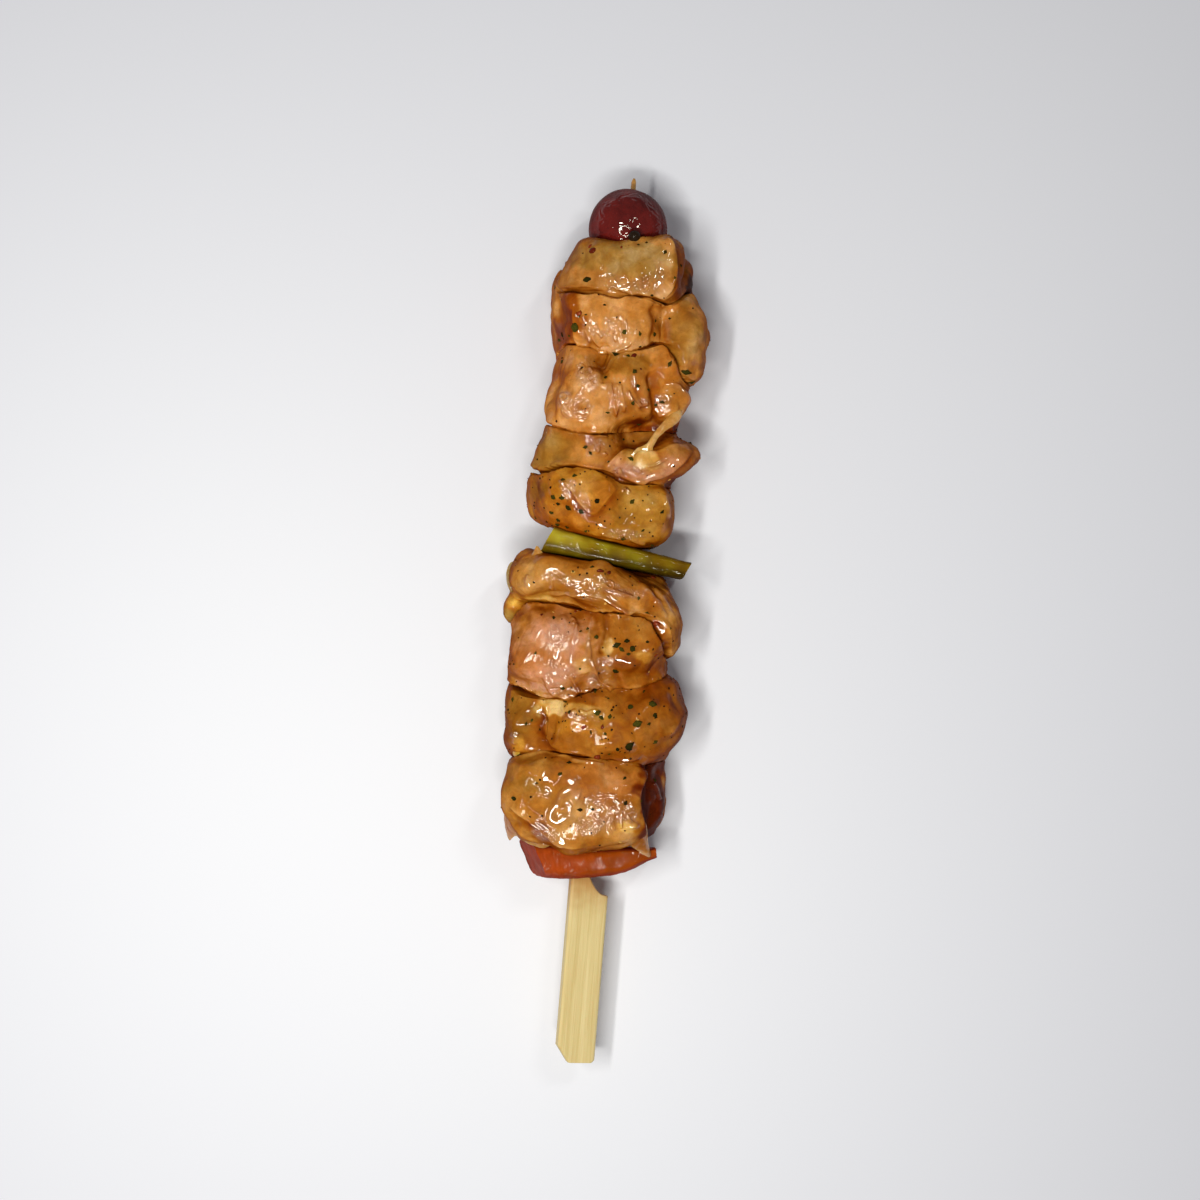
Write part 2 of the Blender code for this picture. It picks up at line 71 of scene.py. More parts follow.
# The forms that the solids have, repeated here so that the fine skins follow them.
GAP = 0.4
FOLD_SOFTNESS = 1.4
SWELL_DEPTH = 0.9
SWELL_WAVES = 7
SWELL_LENGTHS = (11.0, 25.0)
SWELL_SEED = 5
REACH = 46.0
MARCH_STEPS = 32
BISECTIONS = 12
CREVICE_FILL = 2.4
CREVICE_REACH = 4.2
FINE_RIPPLE = 1.5
PEPPER_GAP = 0.15
SAMPLE_STRETCH = (1.25, 1.0, 1.0)
CLOSER_ON_TOP = 0.38
SPIKE_PASSES = 5
SPIKE_HEIGHT = 0.35
SUMMIT = 33.6
SUMMIT_SHARE = 0.5
SEAM_WIDTH = 1.1

# How far each layer of a noise is shifted from the one before, in cells.
LAYER_SHIFT = 17.3

# The relief of the meat: sizes, heights and levels in millimetres, and seeds of the noises.
UPPER_LEVELS = (8, 16)
WANDER_SIZE = 9.0
WANDER = 4.0
WANDER_SEEDS = (31, 32, 33)
FACE_SIZES = (12.0, 10.0)
FACE_SEEDS = (41, 46)
FACE_ROUNDING = 0.0006
LUMP_SIZE = 6.0
LUMP_SEED = 42
FIBRE_SIZE = 1.4
FIBRE_STRETCH = 7.0
FIBRE_SEED = 43
FIBRE_PATCH_SIZE = 12.0
FIBRE_PATCH_SEED = 44
FOLD_FILM = 3.0
FOLD_REACH = 0.12
LEDGE_STEP = 0.35
# Painted shadow at a ledge's foot and painted light along its top edge: the film added there, and the
# width of both bands.
LEDGE_SHADOW_FILM = 1.6
LEDGE_PAINT_WIDTH = 0.7
LINE_WIDTH = 0.42
LINE_RISE = 0.5
LINE_SHINE = 1.8
RIPPLE_SEED = 45
RIPPLE_ROUNDING = 0.004
SMALL_RIPPLE_SIZE = 2.4
SMALL_RIPPLE_SHARE = 0.35
SMALL_RIPPLE_SEED = 47
PATCH_EDGE = (0.6, 1.2)
PATCH_WOBBLE_SIZE = 4.0
PATCH_WOBBLE_SEED = 51
SKIN_DEPTH = 0.8
CALM_NEAR = (-0.2, 1.6)
CALM_BELOW = (0.0, 2.0)
RIM_CENTRE = (0, 0, 12.0)
RIM_FADE = 2.6
RIM_SLIDE = 0.8
RIM_SLIDE_FADE = 1.2
RIM_LEVELS = (9.0, 22.0)
RIM_WAVE_SIZE = 6.0
RIM_SEED = 55

# The film of marinade, with painted shade and light carried in it: thicknesses in millimetres, and
# shares of the light that it mirrors.
TINT_WOBBLE_SIZE = 5.0
TINT_WOBBLE_SEED = 52
FILM_WAVES = 1.6
FILM_WAVE_SIZE = 8.0
FILM_SEED = 53
# Painted shade: film thickened down the steep flanks so they show darker, where marinade also runs
# down.
FLANK_SHADE_FILM = 1.9
# Painted shade where pieces meet and in the seams between lobes: thicker film that darkens them, over
# marinade that pools there too.
CREVICE_SHADE_FILM = 2.6
CREVICE_FADE = 1.5
SEAM_SHADE_FILM = 1.2
# Painted light: film taken off a rim that stands over its neighbour, so the rim shows paler.
RIM_LIGHT_FILM = 1.2
THINNEST_FILM = 0.05
TONE_WAVES = 0.16
TONE_WAVE_SIZE = 3.5
TONE_SEED = 54
DRY_GLOSS = 0.05
PATCH_GLOSS = 0.3
PATCH_SIZE = 5.0
PATCH_SEED = 56
STEEP_GLOSS = 0.12
FLANK_GLOSS = 0.7
TRICKLE_GLOSS = 0.8
TRICKLE_SEED = 58

# The skewer, whose handle, shoulder and point are the solid's.
SKEWER_LENGTH = 250.8
SHAFT_HEIGHT = 16.5
SHAFT_WIDTH = 3.2
TIP_WIDTH = 1.1
TIP_TAPER = 26.0
HANDLE_WIDTH = 11.2
HANDLE_THICKNESS = 3.2
HANDLE_LENGTH = 47.4
SHOULDER_LENGTH = 18.0
END_BEVEL_LEFT = 3.4
END_BEVEL_RIGHT = 0.7
EDGE_BEVEL = 0.45
SKEWER_ROLL = 17.0


@dataclass(frozen=True)
class Waves:
    """Noise of a depth whose features have a size in millimetres, in layers from a seed."""

    depth: float
    size: float
    seed: int
    layers: int = 1

    def at(self, points):
        """The waves' height at each point: the depth times the layered noise."""
        return self.depth * noise(points, self.size, self.seed, self.layers)


@dataclass
class Lobe:
    """A rounded block: its middle, its half sizes, its turn in degrees and how square it is.

    bow bends it in plan, by that many millimetres along Y for each square millimetre along X.
    """

    at: tuple
    half: tuple
    yaw: float = 0.0
    square: float = 2.4
    bow: float = 0.0


@dataclass
class Strip:
    """A slab of pepper stood on edge: its middle line is at + slope x + bow (x - crest)^2.

    lean carries lower points toward -Y, skew slants the ends, and flare is how far the left
    end reaches out at its foot. taper is the share by which the right end thins, rise is how
    far +Y it bends there, and square is how square the section is.
    """

    left: float
    right: float
    at: float
    half_thickness: tuple
    low: tuple
    high: tuple
    slope: float = 0.0
    bow: float = 0.0
    crest: float = 0.0
    lean: float = 0.0
    skew: tuple = (0.0, 0.0)
    flare: float = 0.0
    corner: float = 1.5
    taper: float = 0.0
    rise: float = 0.0
    square: float = 5.5

    def middle(self, x):
        """Where the middle line lies at x: a line plus a parabola round the crest."""
        return self.at + self.slope * x + self.bow * (x - self.crest) ** 2

    def heading(self, x):
        """The middle line's slope at x."""
        return self.slope + 2 * self.bow * (x - self.crest)

    def between(self, pair, x):
        """A value that runs evenly from the left end's to the right end's."""
        share = (x - self.left) / (self.right - self.left)
        return pair[0] + (pair[1] - pair[0]) * share

    def reach_out(self, x, z):
        """How far -X a place is carried: most at the left end's foot, and none at the right."""
        high, low = self.between(self.high, x), self.between(self.low, x)
        return self.flare * (high - z) / (high - low) * self.between((1.0, 0.0), x) ** 2


@dataclass
class Tint:
    """A soft patch on a piece, placed on the photograph: another colour, thicker film, or both."""

    colour: str
    at: tuple
    half: tuple
    strength: float = 1.0
    # A patch's film darkens it: marinade in some patches, painted shade in hollows, creases and shaded
    # flanks in others.
    film: float = 0.0
    turn: float = 0.0


@dataclass
class Wet:
    """A patch where the film stands in ripples of a size in millimetres."""

    at: tuple
    half: tuple
    size: float = 2.2
    depth: float = 1.0


@dataclass
class Ledge:
    """An edge that lies over what is on its right-hand side, going along its path."""

    path: list
    rise: float = 1.0
    run: float = 5.0


@dataclass
class Ridge:
    """A line along which the skin stands out, or sinks where rise is below zero."""

    path: list
    rise: float = 0.4
    width: float = 0.6


@dataclass
class Look:
    """How one piece of meat looks: its flesh, its film, its grain and what is on it.

    lines are paths along which the marinade stands in a thin ridge that catches the light.
    """

    flesh: str
    film: float
    grain: float
    fibre: float = 1.0
    herbs: float = 1.0
    # How strongly the painted shade where pieces meet darkens this piece.
    crevice: float = 1.0
    tints: list = field(default_factory=list)
    wets: list = field(default_factory=list)
    forms: list = field(default_factory=list)
    lines: list = field(default_factory=list)


@dataclass
class Flap:
    """A thin skin of meat between two paths of pixels and heights, rooted along the inner one."""

    inner: list
    outer: list
    colour: str = "tan"
    thickness: tuple = (1.3, 0.4)
    film: float = 0.6


CHICKEN = {
    "chicken_1": [
        Lobe((5.9, 98.7, 24.5), (8.9, 9.9, 10.6), yaw=3, square=3.4),
        Lobe((-6.6, 97.4, 22.6), (9.8, 9.6, 11.2), yaw=-10, square=2.8),
        Lobe((2.2, 96.8, 10.6), (17.2, 9.8, 11.4), yaw=2, square=2.6),
    ],
    "chicken_2": [
        Lobe((-2.4, 83.6, 24.0), (13.6, 8.4, 10.2), yaw=3, square=3.2),
        Lobe((17.2, 80.5, 16.0), (6.9, 12.4, 12.8), yaw=6, square=2.7),
        Lobe((-13.6, 86.2, 12.6), (6.2, 13.2, 12.2), yaw=4, square=2.4),
        Lobe((0.3, 81.0, 11.0), (17.6, 9.6, 11.8), square=2.6),
    ],
    "chicken_3": [
        Lobe((-7.6, 60.5, 22.0), (9.8, 10.2, 12.6), yaw=-10, square=2.3),
        Lobe((-10.2, 70.6, 21.0), (5.4, 6.6, 10.0), yaw=-16, square=2.3),
        Lobe((3.6, 64.8, 20.4), (9.6, 10.4, 13.0), square=2.3),
        Lobe((9.4, 72.4, 20.4), (6.6, 6.4, 9.4), yaw=10, square=2.4),
        Lobe((14.6, 62.6, 20.2), (5.4, 6.4, 8.6), yaw=-14, square=2.2),
        Lobe((1.1, 64.0, 11.0), (16.6, 10.2, 11.8), square=2.5),
    ],
    "chicken_4": [
        Lobe((-8.8, 46.6, 19.0), (11.4, 9.2, 11.6), yaw=8, square=2.4),
        Lobe((9.6, 44.4, 20.4), (14.8, 5.6, 9.4), yaw=18, square=2.8),
        Lobe((9.6, 45.8, 28.8), (3.0, 3.6, 2.2), yaw=-30, square=2.0),
        Lobe((1.2, 46.6, 11.0), (18.2, 9.6, 11.8), square=2.5),
    ],
    "chicken_5": [
        Lobe((0.6, 30.6, 20.4), (18.4, 9.2, 12.6), yaw=-3, square=3.0),
        Lobe((-17.6, 34.6, 15.6), (4.4, 6.4, 9.2), yaw=8, square=2.3),
        Lobe((-6.0, 35.0, 25.4), (11.6, 6.0, 8.6), yaw=-22, square=2.6),
        Lobe((-0.3, 31.0, 11.0), (17.4, 8.8, 11.8), square=2.5),
    ],
    "chicken_6": [
        Lobe((-4.4, 10.4, 22.4), (21.4, 7.4, 11.4), yaw=-8, square=2.6, bow=-0.005),
        Lobe((16.4, 1.6, 17.0), (6.4, 11.6, 12.6), yaw=16, square=2.5),
        Lobe((-19.4, 14.0, 18.0), (5.8, 5.0, 9.0), yaw=-14, square=2.3),
        Lobe((-21.8, 0.9, 15.0), (4.8, 5.0, 6.6), square=2.0),
        Lobe((-1.6, 8.0, 10.8), (20.6, 9.4, 11.6), square=2.5),
    ],
    "chicken_7": [
        Lobe((-9.4, -9.4, 22.6), (14.2, 13.2, 12.0), yaw=-8, square=2.4),
        Lobe((8.2, -6.4, 20.4), (12.2, 12.2, 12.8), square=2.4),
        Lobe((-0.9, -7.4, 10.8), (20.0, 12.2, 11.6), square=2.5),
    ],
    "chicken_8": [
        Lobe((6.0, -28.4, 20.8), (19.6, 10.8, 12.6), yaw=2, square=2.5),
        Lobe((-16.4, -28.8, 15.4), (7.4, 11.6, 12.4), yaw=3, square=2.6),
        Lobe((17.6, -25.4, 16.0), (8.2, 12.2, 12.6), yaw=-4, square=2.4),
        Lobe((2.4, -28.6, 10.8), (21.6, 10.8, 11.6), square=2.5),
    ],
    "chicken_9": [
        Lobe((-2.4, -50.8, 22.6), (19.2, 12.6, 11.6), yaw=2, square=3.6, bow=0.002),
        Lobe((15.0, -49.5, 11.2), (8.8, 12.4, 10.6), yaw=-4, square=2.4),
        Lobe((1.2, -50.6, 11.0), (19.8, 11.6, 11.8), square=2.6),
    ],
}
GRAPE = [Lobe((-0.5, 110.4, 19.0), (11.1, 11.3, 10.9), yaw=20, square=2.0)]
GREEN_PEPPER = Strip(
    left=-15.6, right=23.8, at=19.1, slope=-0.138, half_thickness=(3.5, 2.4),
    low=(9.5, 7.5), high=(30.6, 28.2), skew=(0.33, 0.33),
)
RED_PEPPER = Strip(
    left=-10.4, right=21.9, at=-67.8, bow=0.006, crest=-3.0, half_thickness=(5.0, 3.0),
    low=(3.2, 5.5), high=(27.0, 22.0), lean=0.12, skew=(-0.62, 0.1), flare=4.8, corner=1.9,
    taper=0.5, rise=0.5, square=4.2,
)
STRIPS = {"green_pepper": GREEN_PEPPER, "red_pepper": RED_PEPPER}
LUMPS = {**CHICKEN, "red_grape": GRAPE}

# The pieces in their order from the point to the handle, and what presses on each.
THREADED = [
    "red_grape", "chicken_1", "chicken_2", "chicken_3", "chicken_4", "chicken_5",
    "green_pepper", "chicken_6", "chicken_7", "chicken_8", "chicken_9", "red_pepper",
]
PRESSED_BY = {
    "chicken_1": ["red_grape"],
    "chicken_2": ["chicken_1"],
    "chicken_3": ["chicken_2"],
    "chicken_4": ["chicken_3"],
    "chicken_5": ["chicken_4", "green_pepper"],
    "chicken_6": ["green_pepper"],
    "chicken_7": ["chicken_6"],
    "chicken_8": ["chicken_7"],
    "chicken_9": ["chicken_8", "red_pepper"],
}

# The black peppercorn, between the first piece of meat and the grape.
PEPPERCORN_PLACE = (1.4, 106.1, 31.6)
PEPPERCORN_RADIUS = 1.7

# Spices: the seed of their places, how much the herbs swell in the film, and what a
# millimetre beside its pixel costs a spot in height.
SPICE_SEED = 101
HERB_SCALE = 1.2
SPOT_MISS_COST = 12.0

# What lies over which neighbour, and by how many millimetres its rim stands above it.
OVER = {
    "chicken_1": ("chicken_2", 0.5),
    "chicken_2": ("chicken_3", 1.0),
    "chicken_3": ("chicken_4", 1.3),
    "chicken_4": ("chicken_5", 1.2),
    "chicken_5": ("green_pepper", 0.4),
    "chicken_6": ("chicken_7", 1.4),
    "chicken_7": ("chicken_8", 1.3),
    "chicken_8": ("chicken_9", 0.2),
    "chicken_9": ("red_pepper", 0.9),
}

# Places in these looks are pixels of the photograph's 1200 by 1200 frame.
LOOKS = {
    "chicken_1": Look(
        "flesh", 0.85, 80, 0.3, 0.3, 0.15,
        tints=[
            Tint("", (684, 275), (3.4, 9), film=1.5),
            # A dark purplish spot on the right flank.
            Tint("dark_purple_spot", (689, 289), (1.3, 3.2), 0.9),
            Tint("peach", (573, 268), (1.3, 3), 0.6),
            Tint("", (580, 290), (7, 2.4), film=0.5),
            Tint("", (592, 238), (5, 3), film=0.6),
            Tint("olive", (625, 258), (13, 6), 0.6, -0.2),
        ],
        wets=[
            Wet((644, 284), (3.4, 2.4)), Wet((613, 281), (3.4, 2.6)), Wet((659, 276), (1.3, 4.2), 1.6),
        ],
        forms=[
            Ledge([(664, 299), (673, 287), (677, 270), (677, 254), (673, 243), (666, 236)], 1.3),
            Ridge([(606, 296), (622, 298), (646, 300)], 0.5, 0.4),
        ],
        lines=[
            [(604, 279), (608, 284), (612, 277), (617, 283), (621, 280)],
            [(607, 289), (613, 286), (618, 290)],
            [(616, 289), (626, 287), (637, 281), (643, 285)], [(638, 277), (643, 281), (649, 277)],
            [(640, 286), (645, 290), (650, 284)],
            [(658, 264), (656, 272), (660, 278), (657, 285), (658, 291)],
            [(661, 270), (662, 278), (660, 288)], [(611, 298), (628, 300), (644, 302)],
        ],
    ),
    "chicken_2": Look(
        "peach", 0.65, 85, 0.5, 0.5, 0.25,
        tints=[
            Tint("olive", (682, 336), (6, 11), 0.5, 0.4),
            # Painted shade: thick film darkens the dim left flank.
            Tint("", (566, 324), (3.2, 12), film=2.2),
            Tint("pink", (667, 330), (1.3, 4), 0.6),
            Tint("", (655, 350), (3, 3), film=0.9),
        ],
        wets=[
            Wet((590, 333), (2.4, 4), 1.8), Wet((612, 332), (4, 4.5), 2.0),
            Wet((615, 346), (5, 1.6), 1.6),
        ],
        forms=[
            Ledge([(574, 306), (575, 325), (577, 342), (588, 352)], 1.1, 4),
            Ridge([(651, 306), (655, 322), (652, 340), (656, 352)], -0.6, 1.1),
            Ridge([(664, 318), (668, 330), (667, 342)], 0.4, 0.8),
            Ridge([(597, 347), (612, 350), (622, 347), (633, 340)], 0.6, 0.45),
        ],
        lines=[
            [(585, 324), (588, 333), (591, 342)], [(592, 333), (596, 341), (602, 347)],
            [(598, 351), (606, 352), (616, 351), (632, 343)], [(608, 321), (607, 329), (609, 337)],
            [(613, 327), (614, 335), (617, 342)], [(620, 320), (620, 330), (622, 339)],
            [(625, 319), (626, 326), (625, 332)], [(596, 322), (599, 331), (603, 338)],
        ],
    ),
    "chicken_3": Look(
        "peach", 0.75, 82, 1.0, 0.5, 0.45,
        tints=[
            Tint("olive", (622, 364), (7, 4), 0.5, 0.5),
            # Painted shade: these two film patches darken the hollows between this piece and the next.
            Tint("", (645, 434), (6, 3.4), film=3.6), Tint("", (668, 436), (4, 3), film=4.0),
            Tint("", (598, 431), (11, 1.8), film=0.7),
            Tint("tan", (672, 400), (4, 4.6), 0.7),
            Tint("cream", (676, 416), (3.6, 1.4), 0.6, -0.6, turn=20),
            # Painted shade: thicker film along the groove.
            Tint("", (655, 395), (1.4, 7), film=1.0),
        ],
        wets=[
            Wet((590, 374), (4.2, 5), 0.95, 0.9), Wet((577, 407), (5.4, 2.8)),
            Wet((617, 400), (2.8, 5.6), 1.8),
            Wet((645, 404), (2.6, 1.6), 1.1), Wet((662, 402), (1.8, 2.6), 1.0),
            Wet((655, 422), (1.3, 3), 1.0),
        ],
        forms=[
            Ridge([(598, 357), (604, 370), (604, 384)], -0.8, 1.2),
            Ridge([(610, 384), (614, 400), (616, 419)], 0.5, 0.45),
            Ridge([(617, 382), (623, 398), (624, 413)], 0.5, 0.45),
            Ridge([(632, 380), (641, 400), (644, 413)], -0.5, 0.9),
            Ridge([(649, 370), (653, 390), (655, 408), (652, 424)], -0.9, 1.0),
            Ridge([(662, 386), (674, 385), (684, 393), (687, 404), (682, 413), (672, 419)], 0.6, 0.7),
            Ridge([(562, 392), (563, 402), (572, 412), (590, 415)], 0.5, 0.5),
        ],
        lines=[
            [(563, 407), (566, 415), (577, 416), (588, 414), (588, 406)],
            [(562, 396), (565, 393), (568, 397), (565, 401), (562, 397)],
            [(579, 363), (584, 368), (580, 374), (587, 378)],
            [(588, 366), (592, 373), (588, 380), (594, 385)],
            [(577, 384), (583, 388), (579, 393)], [(612, 381), (611, 392), (613, 404), (615, 417)],
            [(617, 382), (616, 394), (618, 405), (615, 417)], [(622, 383), (621, 394), (624, 405)],
            [(628, 390), (632, 399), (641, 409)], [(632, 374), (634, 382), (635, 388)],
            [(661, 397), (666, 395), (669, 400), (664, 405), (660, 401)],
            [(655, 410), (660, 414), (666, 413)],
            [(577, 407), (583, 410), (587, 405)], [(639, 402), (643, 406), (649, 403)],
        ],
    ),
    "chicken_4": Look(
        "tan", 1.2, 20, 0.5, 0.6, 0.65,
        tints=[
            Tint("olive", (553, 455), (5, 8), 0.55),
            Tint("peach", (595, 455), (6, 5), 0.7),
            Tint("pink", (650, 468), (13, 4.6), 1.0, -0.5, turn=14),
            Tint("cream", (641, 461), (4.6, 3.0), 0.8, -0.8),
            Tint("", (598, 476), (11, 2.4), film=0.7),
            Tint("", (675, 484), (7, 2.4), film=1.4, turn=35),
        ],
        wets=[
            Wet((598, 447), (3.2, 3.4)), Wet((618, 476), (2.2, 3.4), 1.6),
            Wet((635, 469), (3.6, 1.6), 1.1),
        ],
        forms=[
            Ledge([
                (604, 478), (621, 486), (640, 484), (657, 478), (673, 471), (686, 460), (694, 449),
            ], 1.2, 4),
            Ledge([(692, 443), (672, 446), (655, 451), (630, 451), (612, 459), (603, 471)], 0.8, 4),
            Ridge([(680, 459), (665, 470), (648, 477), (630, 483)], 0.3, 0.5),
        ],
        lines=[
            [(591, 439), (599, 436), (609, 437)], [(594, 444), (594, 450), (598, 452), (600, 446)],
            [(614, 470), (617, 477), (620, 484)], [(619, 468), (622, 476)],
            [(645, 466), (655, 464), (668, 458)],
            [(630, 470), (636, 473), (641, 470)], [(603, 452), (606, 456)],
        ],
    ),
    "chicken_5": Look(
        "gold", 1.05, -10, 0.4, 1.6, 0.65,
        tints=[
            Tint("peach", (600, 496), (9, 5), 0.4, -0.2),
            Tint("olive", (640, 515), (9, 8), 0.4, -0.1),
            Tint("orange", (565, 515), (9, 5), 0.6),
            Tint("", (640, 547), (11, 1.6), film=0.9),
            Tint("olive", (537, 492), (2, 4), 0.6),
        ],
        wets=[
            Wet((582, 503), (2.4, 3), 1.2), Wet((567, 486), (2.4, 2.4), 1.2),
            Wet((628, 534), (7, 1.4), 1.1),
        ],
        forms=[
            Ledge([
                (558, 476), (569, 489), (576, 497), (584, 508), (590, 514), (597, 513), (603, 506),
                (610, 497), (620, 486),
            ], 0.9, 5),
            Ridge([(574, 493), (582, 503), (592, 511)], 0.7, 0.45),
        ],
        lines=[
            [(575, 497), (580, 504), (586, 510), (592, 513)], [(559, 479), (562, 484), (560, 489)],
            [(564, 482), (569, 486)], [(601, 531), (610, 536), (622, 540)],
            [(630, 539), (638, 543), (646, 544)],
            [(664, 494), (668, 506), (670, 520)], [(623, 492), (626, 488), (631, 493)],
        ],
    ),
    "chicken_6": Look(
        "tan", 1.05, -14, 0.8, 0.6, 0.9,
        tints=[
            Tint("peach", (645, 598), (6, 5), 0.6),
            Tint("", (588, 589), (12, 1.8), film=0.6),
            Tint("fat", (513, 601), (2.9, 2.3), 1.0, -0.8),
            Tint("olive", (509, 617), (2.6, 3), 0.8, -0.5),
            Tint("cream", (540, 599), (4.4, 1.2), 0.8, -0.6),
            Tint("chilli", (655, 624), (1.4, 1.3), 0.9),
            Tint("", (600, 604), (7, 1.2), film=0.9),
            Tint("tan", (530, 570), (4, 3), 0.5),
        ],
        wets=[
            Wet((558, 579), (5, 1.6), 1.3), Wet((603, 585), (5, 2.4), 1.6),
            Wet((630, 594), (3.6, 1.6), 1.3),
            Wet((590, 597), (4, 1.0), 1.4),
        ],
        forms=[
            Ridge([(545, 574), (565, 581), (585, 578), (597, 583), (613, 592), (637, 598)], 0.7, 0.8),
            Ridge([(640, 586), (655, 600), (668, 620)], 0.4, 0.6),
            Ridge([(650, 584), (664, 600), (672, 618)], 0.35, 0.6),
            Ridge([(552, 578), (553, 592)], 0.4, 0.5),
            Ridge([
                (560, 598), (580, 595), (597, 596), (612, 603), (625, 611), (640, 617), (655, 622),
            ], 0.6, 0.45),
        ],
        lines=[
            [(550, 573), (552, 582), (551, 592)],
            [(553, 576), (562, 580), (570, 577), (578, 582), (588, 579)],
            [(601, 582), (609, 588), (617, 592), (624, 595), (636, 597)],
            [(566, 583), (573, 587), (582, 584)],
            [(544, 597), (566, 595), (586, 593), (596, 596), (604, 598)],
            [(604, 598), (613, 604), (622, 610)],
            [(622, 610), (634, 616), (647, 620)], [(583, 590), (590, 593), (596, 590)],
            [(608, 580), (613, 584), (611, 590)], [(528, 574), (527, 582), (530, 588)],
        ],
    ),
    "chicken_7": Look(
        "tan", 2.0, 74, 1.2, 1.0, 0.7,
        tints=[
            Tint("pink", (554, 652), (13.5, 15), 1.0, -1.6),
            Tint("", (636, 664), (8, 3.6), film=1.0),
            Tint("cream", (609, 648), (1.8, 2.8), 0.6, -1.3),
            Tint("cream", (643, 656), (3.4, 1.6), 0.5, -1.2),
            Tint("peach", (638, 692), (1.8, 3.0), 0.6, -1.4),
            Tint("tan", (634, 626), (8, 4), 0.5, -0.5),
            Tint("cream", (585, 665), (2.4, 3), 0.4),
        ],
        wets=[
            Wet((559, 636), (4, 4.6), 1.4), Wet((562, 680), (6, 4.6), 2.4, 1.2),
            Wet((601, 680), (3.6, 6.4), 2.6, 1.2),
        ],
        forms=[
            Ridge([(601, 602), (606, 620), (606, 642), (600, 656)], -0.7, 0.9),
            Ridge([(578, 620), (574, 645), (570, 668)], 0.4, 0.6),
            Ridge([(591, 615), (588, 640), (585, 665)], 0.35, 0.6),
            Ridge([(544, 672), (547, 683), (555, 691), (567, 696), (580, 695)], 0.8, 1.0),
            Ridge([(591, 655), (594, 668), (601, 680), (610, 688), (608, 695), (602, 700)], 0.6, 0.8),
            Ridge([(566, 612), (561, 640), (556, 662)], 0.3, 0.7),
            Ridge([(612, 668), (622, 690), (630, 700)], -0.5, 1.0),
        ],
        lines=[
            [(549, 633), (554, 641), (562, 641), (568, 634)], [(571, 616), (575, 619), (572, 624)],
            [(552, 637), (558, 635), (562, 639)], [(553, 658), (552, 665), (555, 672)],
            [(563, 665), (565, 671), (569, 677)],
            [(543, 674), (548, 686), (557, 694), (570, 697), (581, 694)],
            [(546, 676), (551, 684), (561, 687), (566, 692)], [(571, 678), (576, 686), (581, 693)],
            [(590, 654), (593, 668), (600, 681), (610, 687), (609, 694), (602, 700)],
            [(601, 683), (597, 690), (599, 698)], [(584, 694), (589, 690), (594, 693)],
            [(577, 622), (575, 634), (571, 645)], [(588, 640), (590, 652), (588, 662)],
        ],
    ),
    "chicken_8": Look(
        "tan", 2.1, 8, 0.4, 2.4, 0.7,
        tints=[
            Tint("cream", (578, 708), (7.4, 2.4), 0.7, -1.7),
            Tint("gold", (585, 722), (11, 5), 0.8, -0.7),
            Tint("cream", (550, 706), (3.6, 2.6), 0.95, -2.2, turn=-20),
            Tint("olive", (520, 715), (4.6, 8), 0.6, -0.3),
            Tint("fat", (519, 746), (1.6, 2.2), 0.6, -0.8),
            Tint("peach", (638, 693), (1.4, 2.6), 0.6, -0.8),
            # Painted shade: thicker film along the crease between the left lobe and the rest.
            Tint("", (541, 728), (1.6, 8), film=0.8),
        ],
        wets=[Wet((584, 714), (5.6, 2.0), 1.7), Wet((630, 746), (2, 2), 1.0)],
        forms=[Ledge([(541, 699), (547, 716), (544, 728), (550, 742), (558, 751)], 1.2, 4)],
        lines=[
            [(568, 712), (572, 717), (575, 711), (579, 716)],
            [(579, 710), (586, 713), (594, 710), (600, 712)],
            [(571, 718), (580, 720), (588, 717)], [(511, 733), (516, 737), (515, 744)],
            [(580, 757), (594, 761), (605, 764)], [(613, 762), (627, 760), (641, 756)],
        ],
    ),
    "chicken_9": Look(
        "tan", 1.15, 5, 0.35, 0.8, 0.7,
        tints=[
            Tint("pink", (602, 785), (11, 6), 0.7),
            Tint("olive", (530, 775), (8, 6), 0.5),
            Tint("fat", (624, 826), (2.8, 1.8), 0.6, -0.8),
            Tint("", (542, 836), (8, 2.6), film=1.3, turn=-38),
            # Painted shade: thick film darkens the under-part at the right, which lies in shade.
            Tint("", (652, 800), (4.4, 16), film=4.4),
            Tint("peach", (560, 772), (14, 4), 0.4),
        ],
        wets=[
            Wet((596, 800), (4, 2.6), 3.2, 1.2), Wet((590, 826), (4.6, 2.6), 1.2),
            Wet((611, 820), (1.8, 5), 0.9), Wet((545, 833), (5, 1.8), 1.3),
            Wet((625, 816), (3, 4), 1.8),
        ],
        forms=[
            Ledge([(648, 848), (641, 828), (637, 803), (640, 782), (646, 762)], 1.7, 5),
            Ledge([(507, 806), (518, 815), (532, 824), (548, 834), (566, 846), (588, 849)], 1.0, 4),
            Ridge([(570, 758), (588, 762), (605, 765)], 0.5, 0.45),
            Ridge([(530, 822), (548, 834), (566, 846)], 0.6, 0.5),
            Ridge([(652, 782), (657, 792), (660, 800)], 0.6, 0.5),
            Ridge([(661, 812), (661, 840)], 0.6, 0.45),
            Ridge([(620, 806), (621, 829)], 0.5, 0.5),
            Ridge([(623, 808), (632, 828)], 0.4, 0.5),
            Ridge([
                (559, 788), (566, 782), (574, 781), (574, 786), (563, 794), (558, 803), (552, 813),
                (552, 820),
                (559, 822), (568, 817), (575, 824), (577, 838),
            ], 0.9, 1.15),
            Ridge([(560, 808), (564, 795), (573, 791), (577, 801), (585, 808)], 0.8, 1.0),
        ],
        lines=[
            [(580, 786), (579, 796), (576, 800)],
            [(583, 787), (596, 788), (597, 795), (610, 795), (617, 797)],
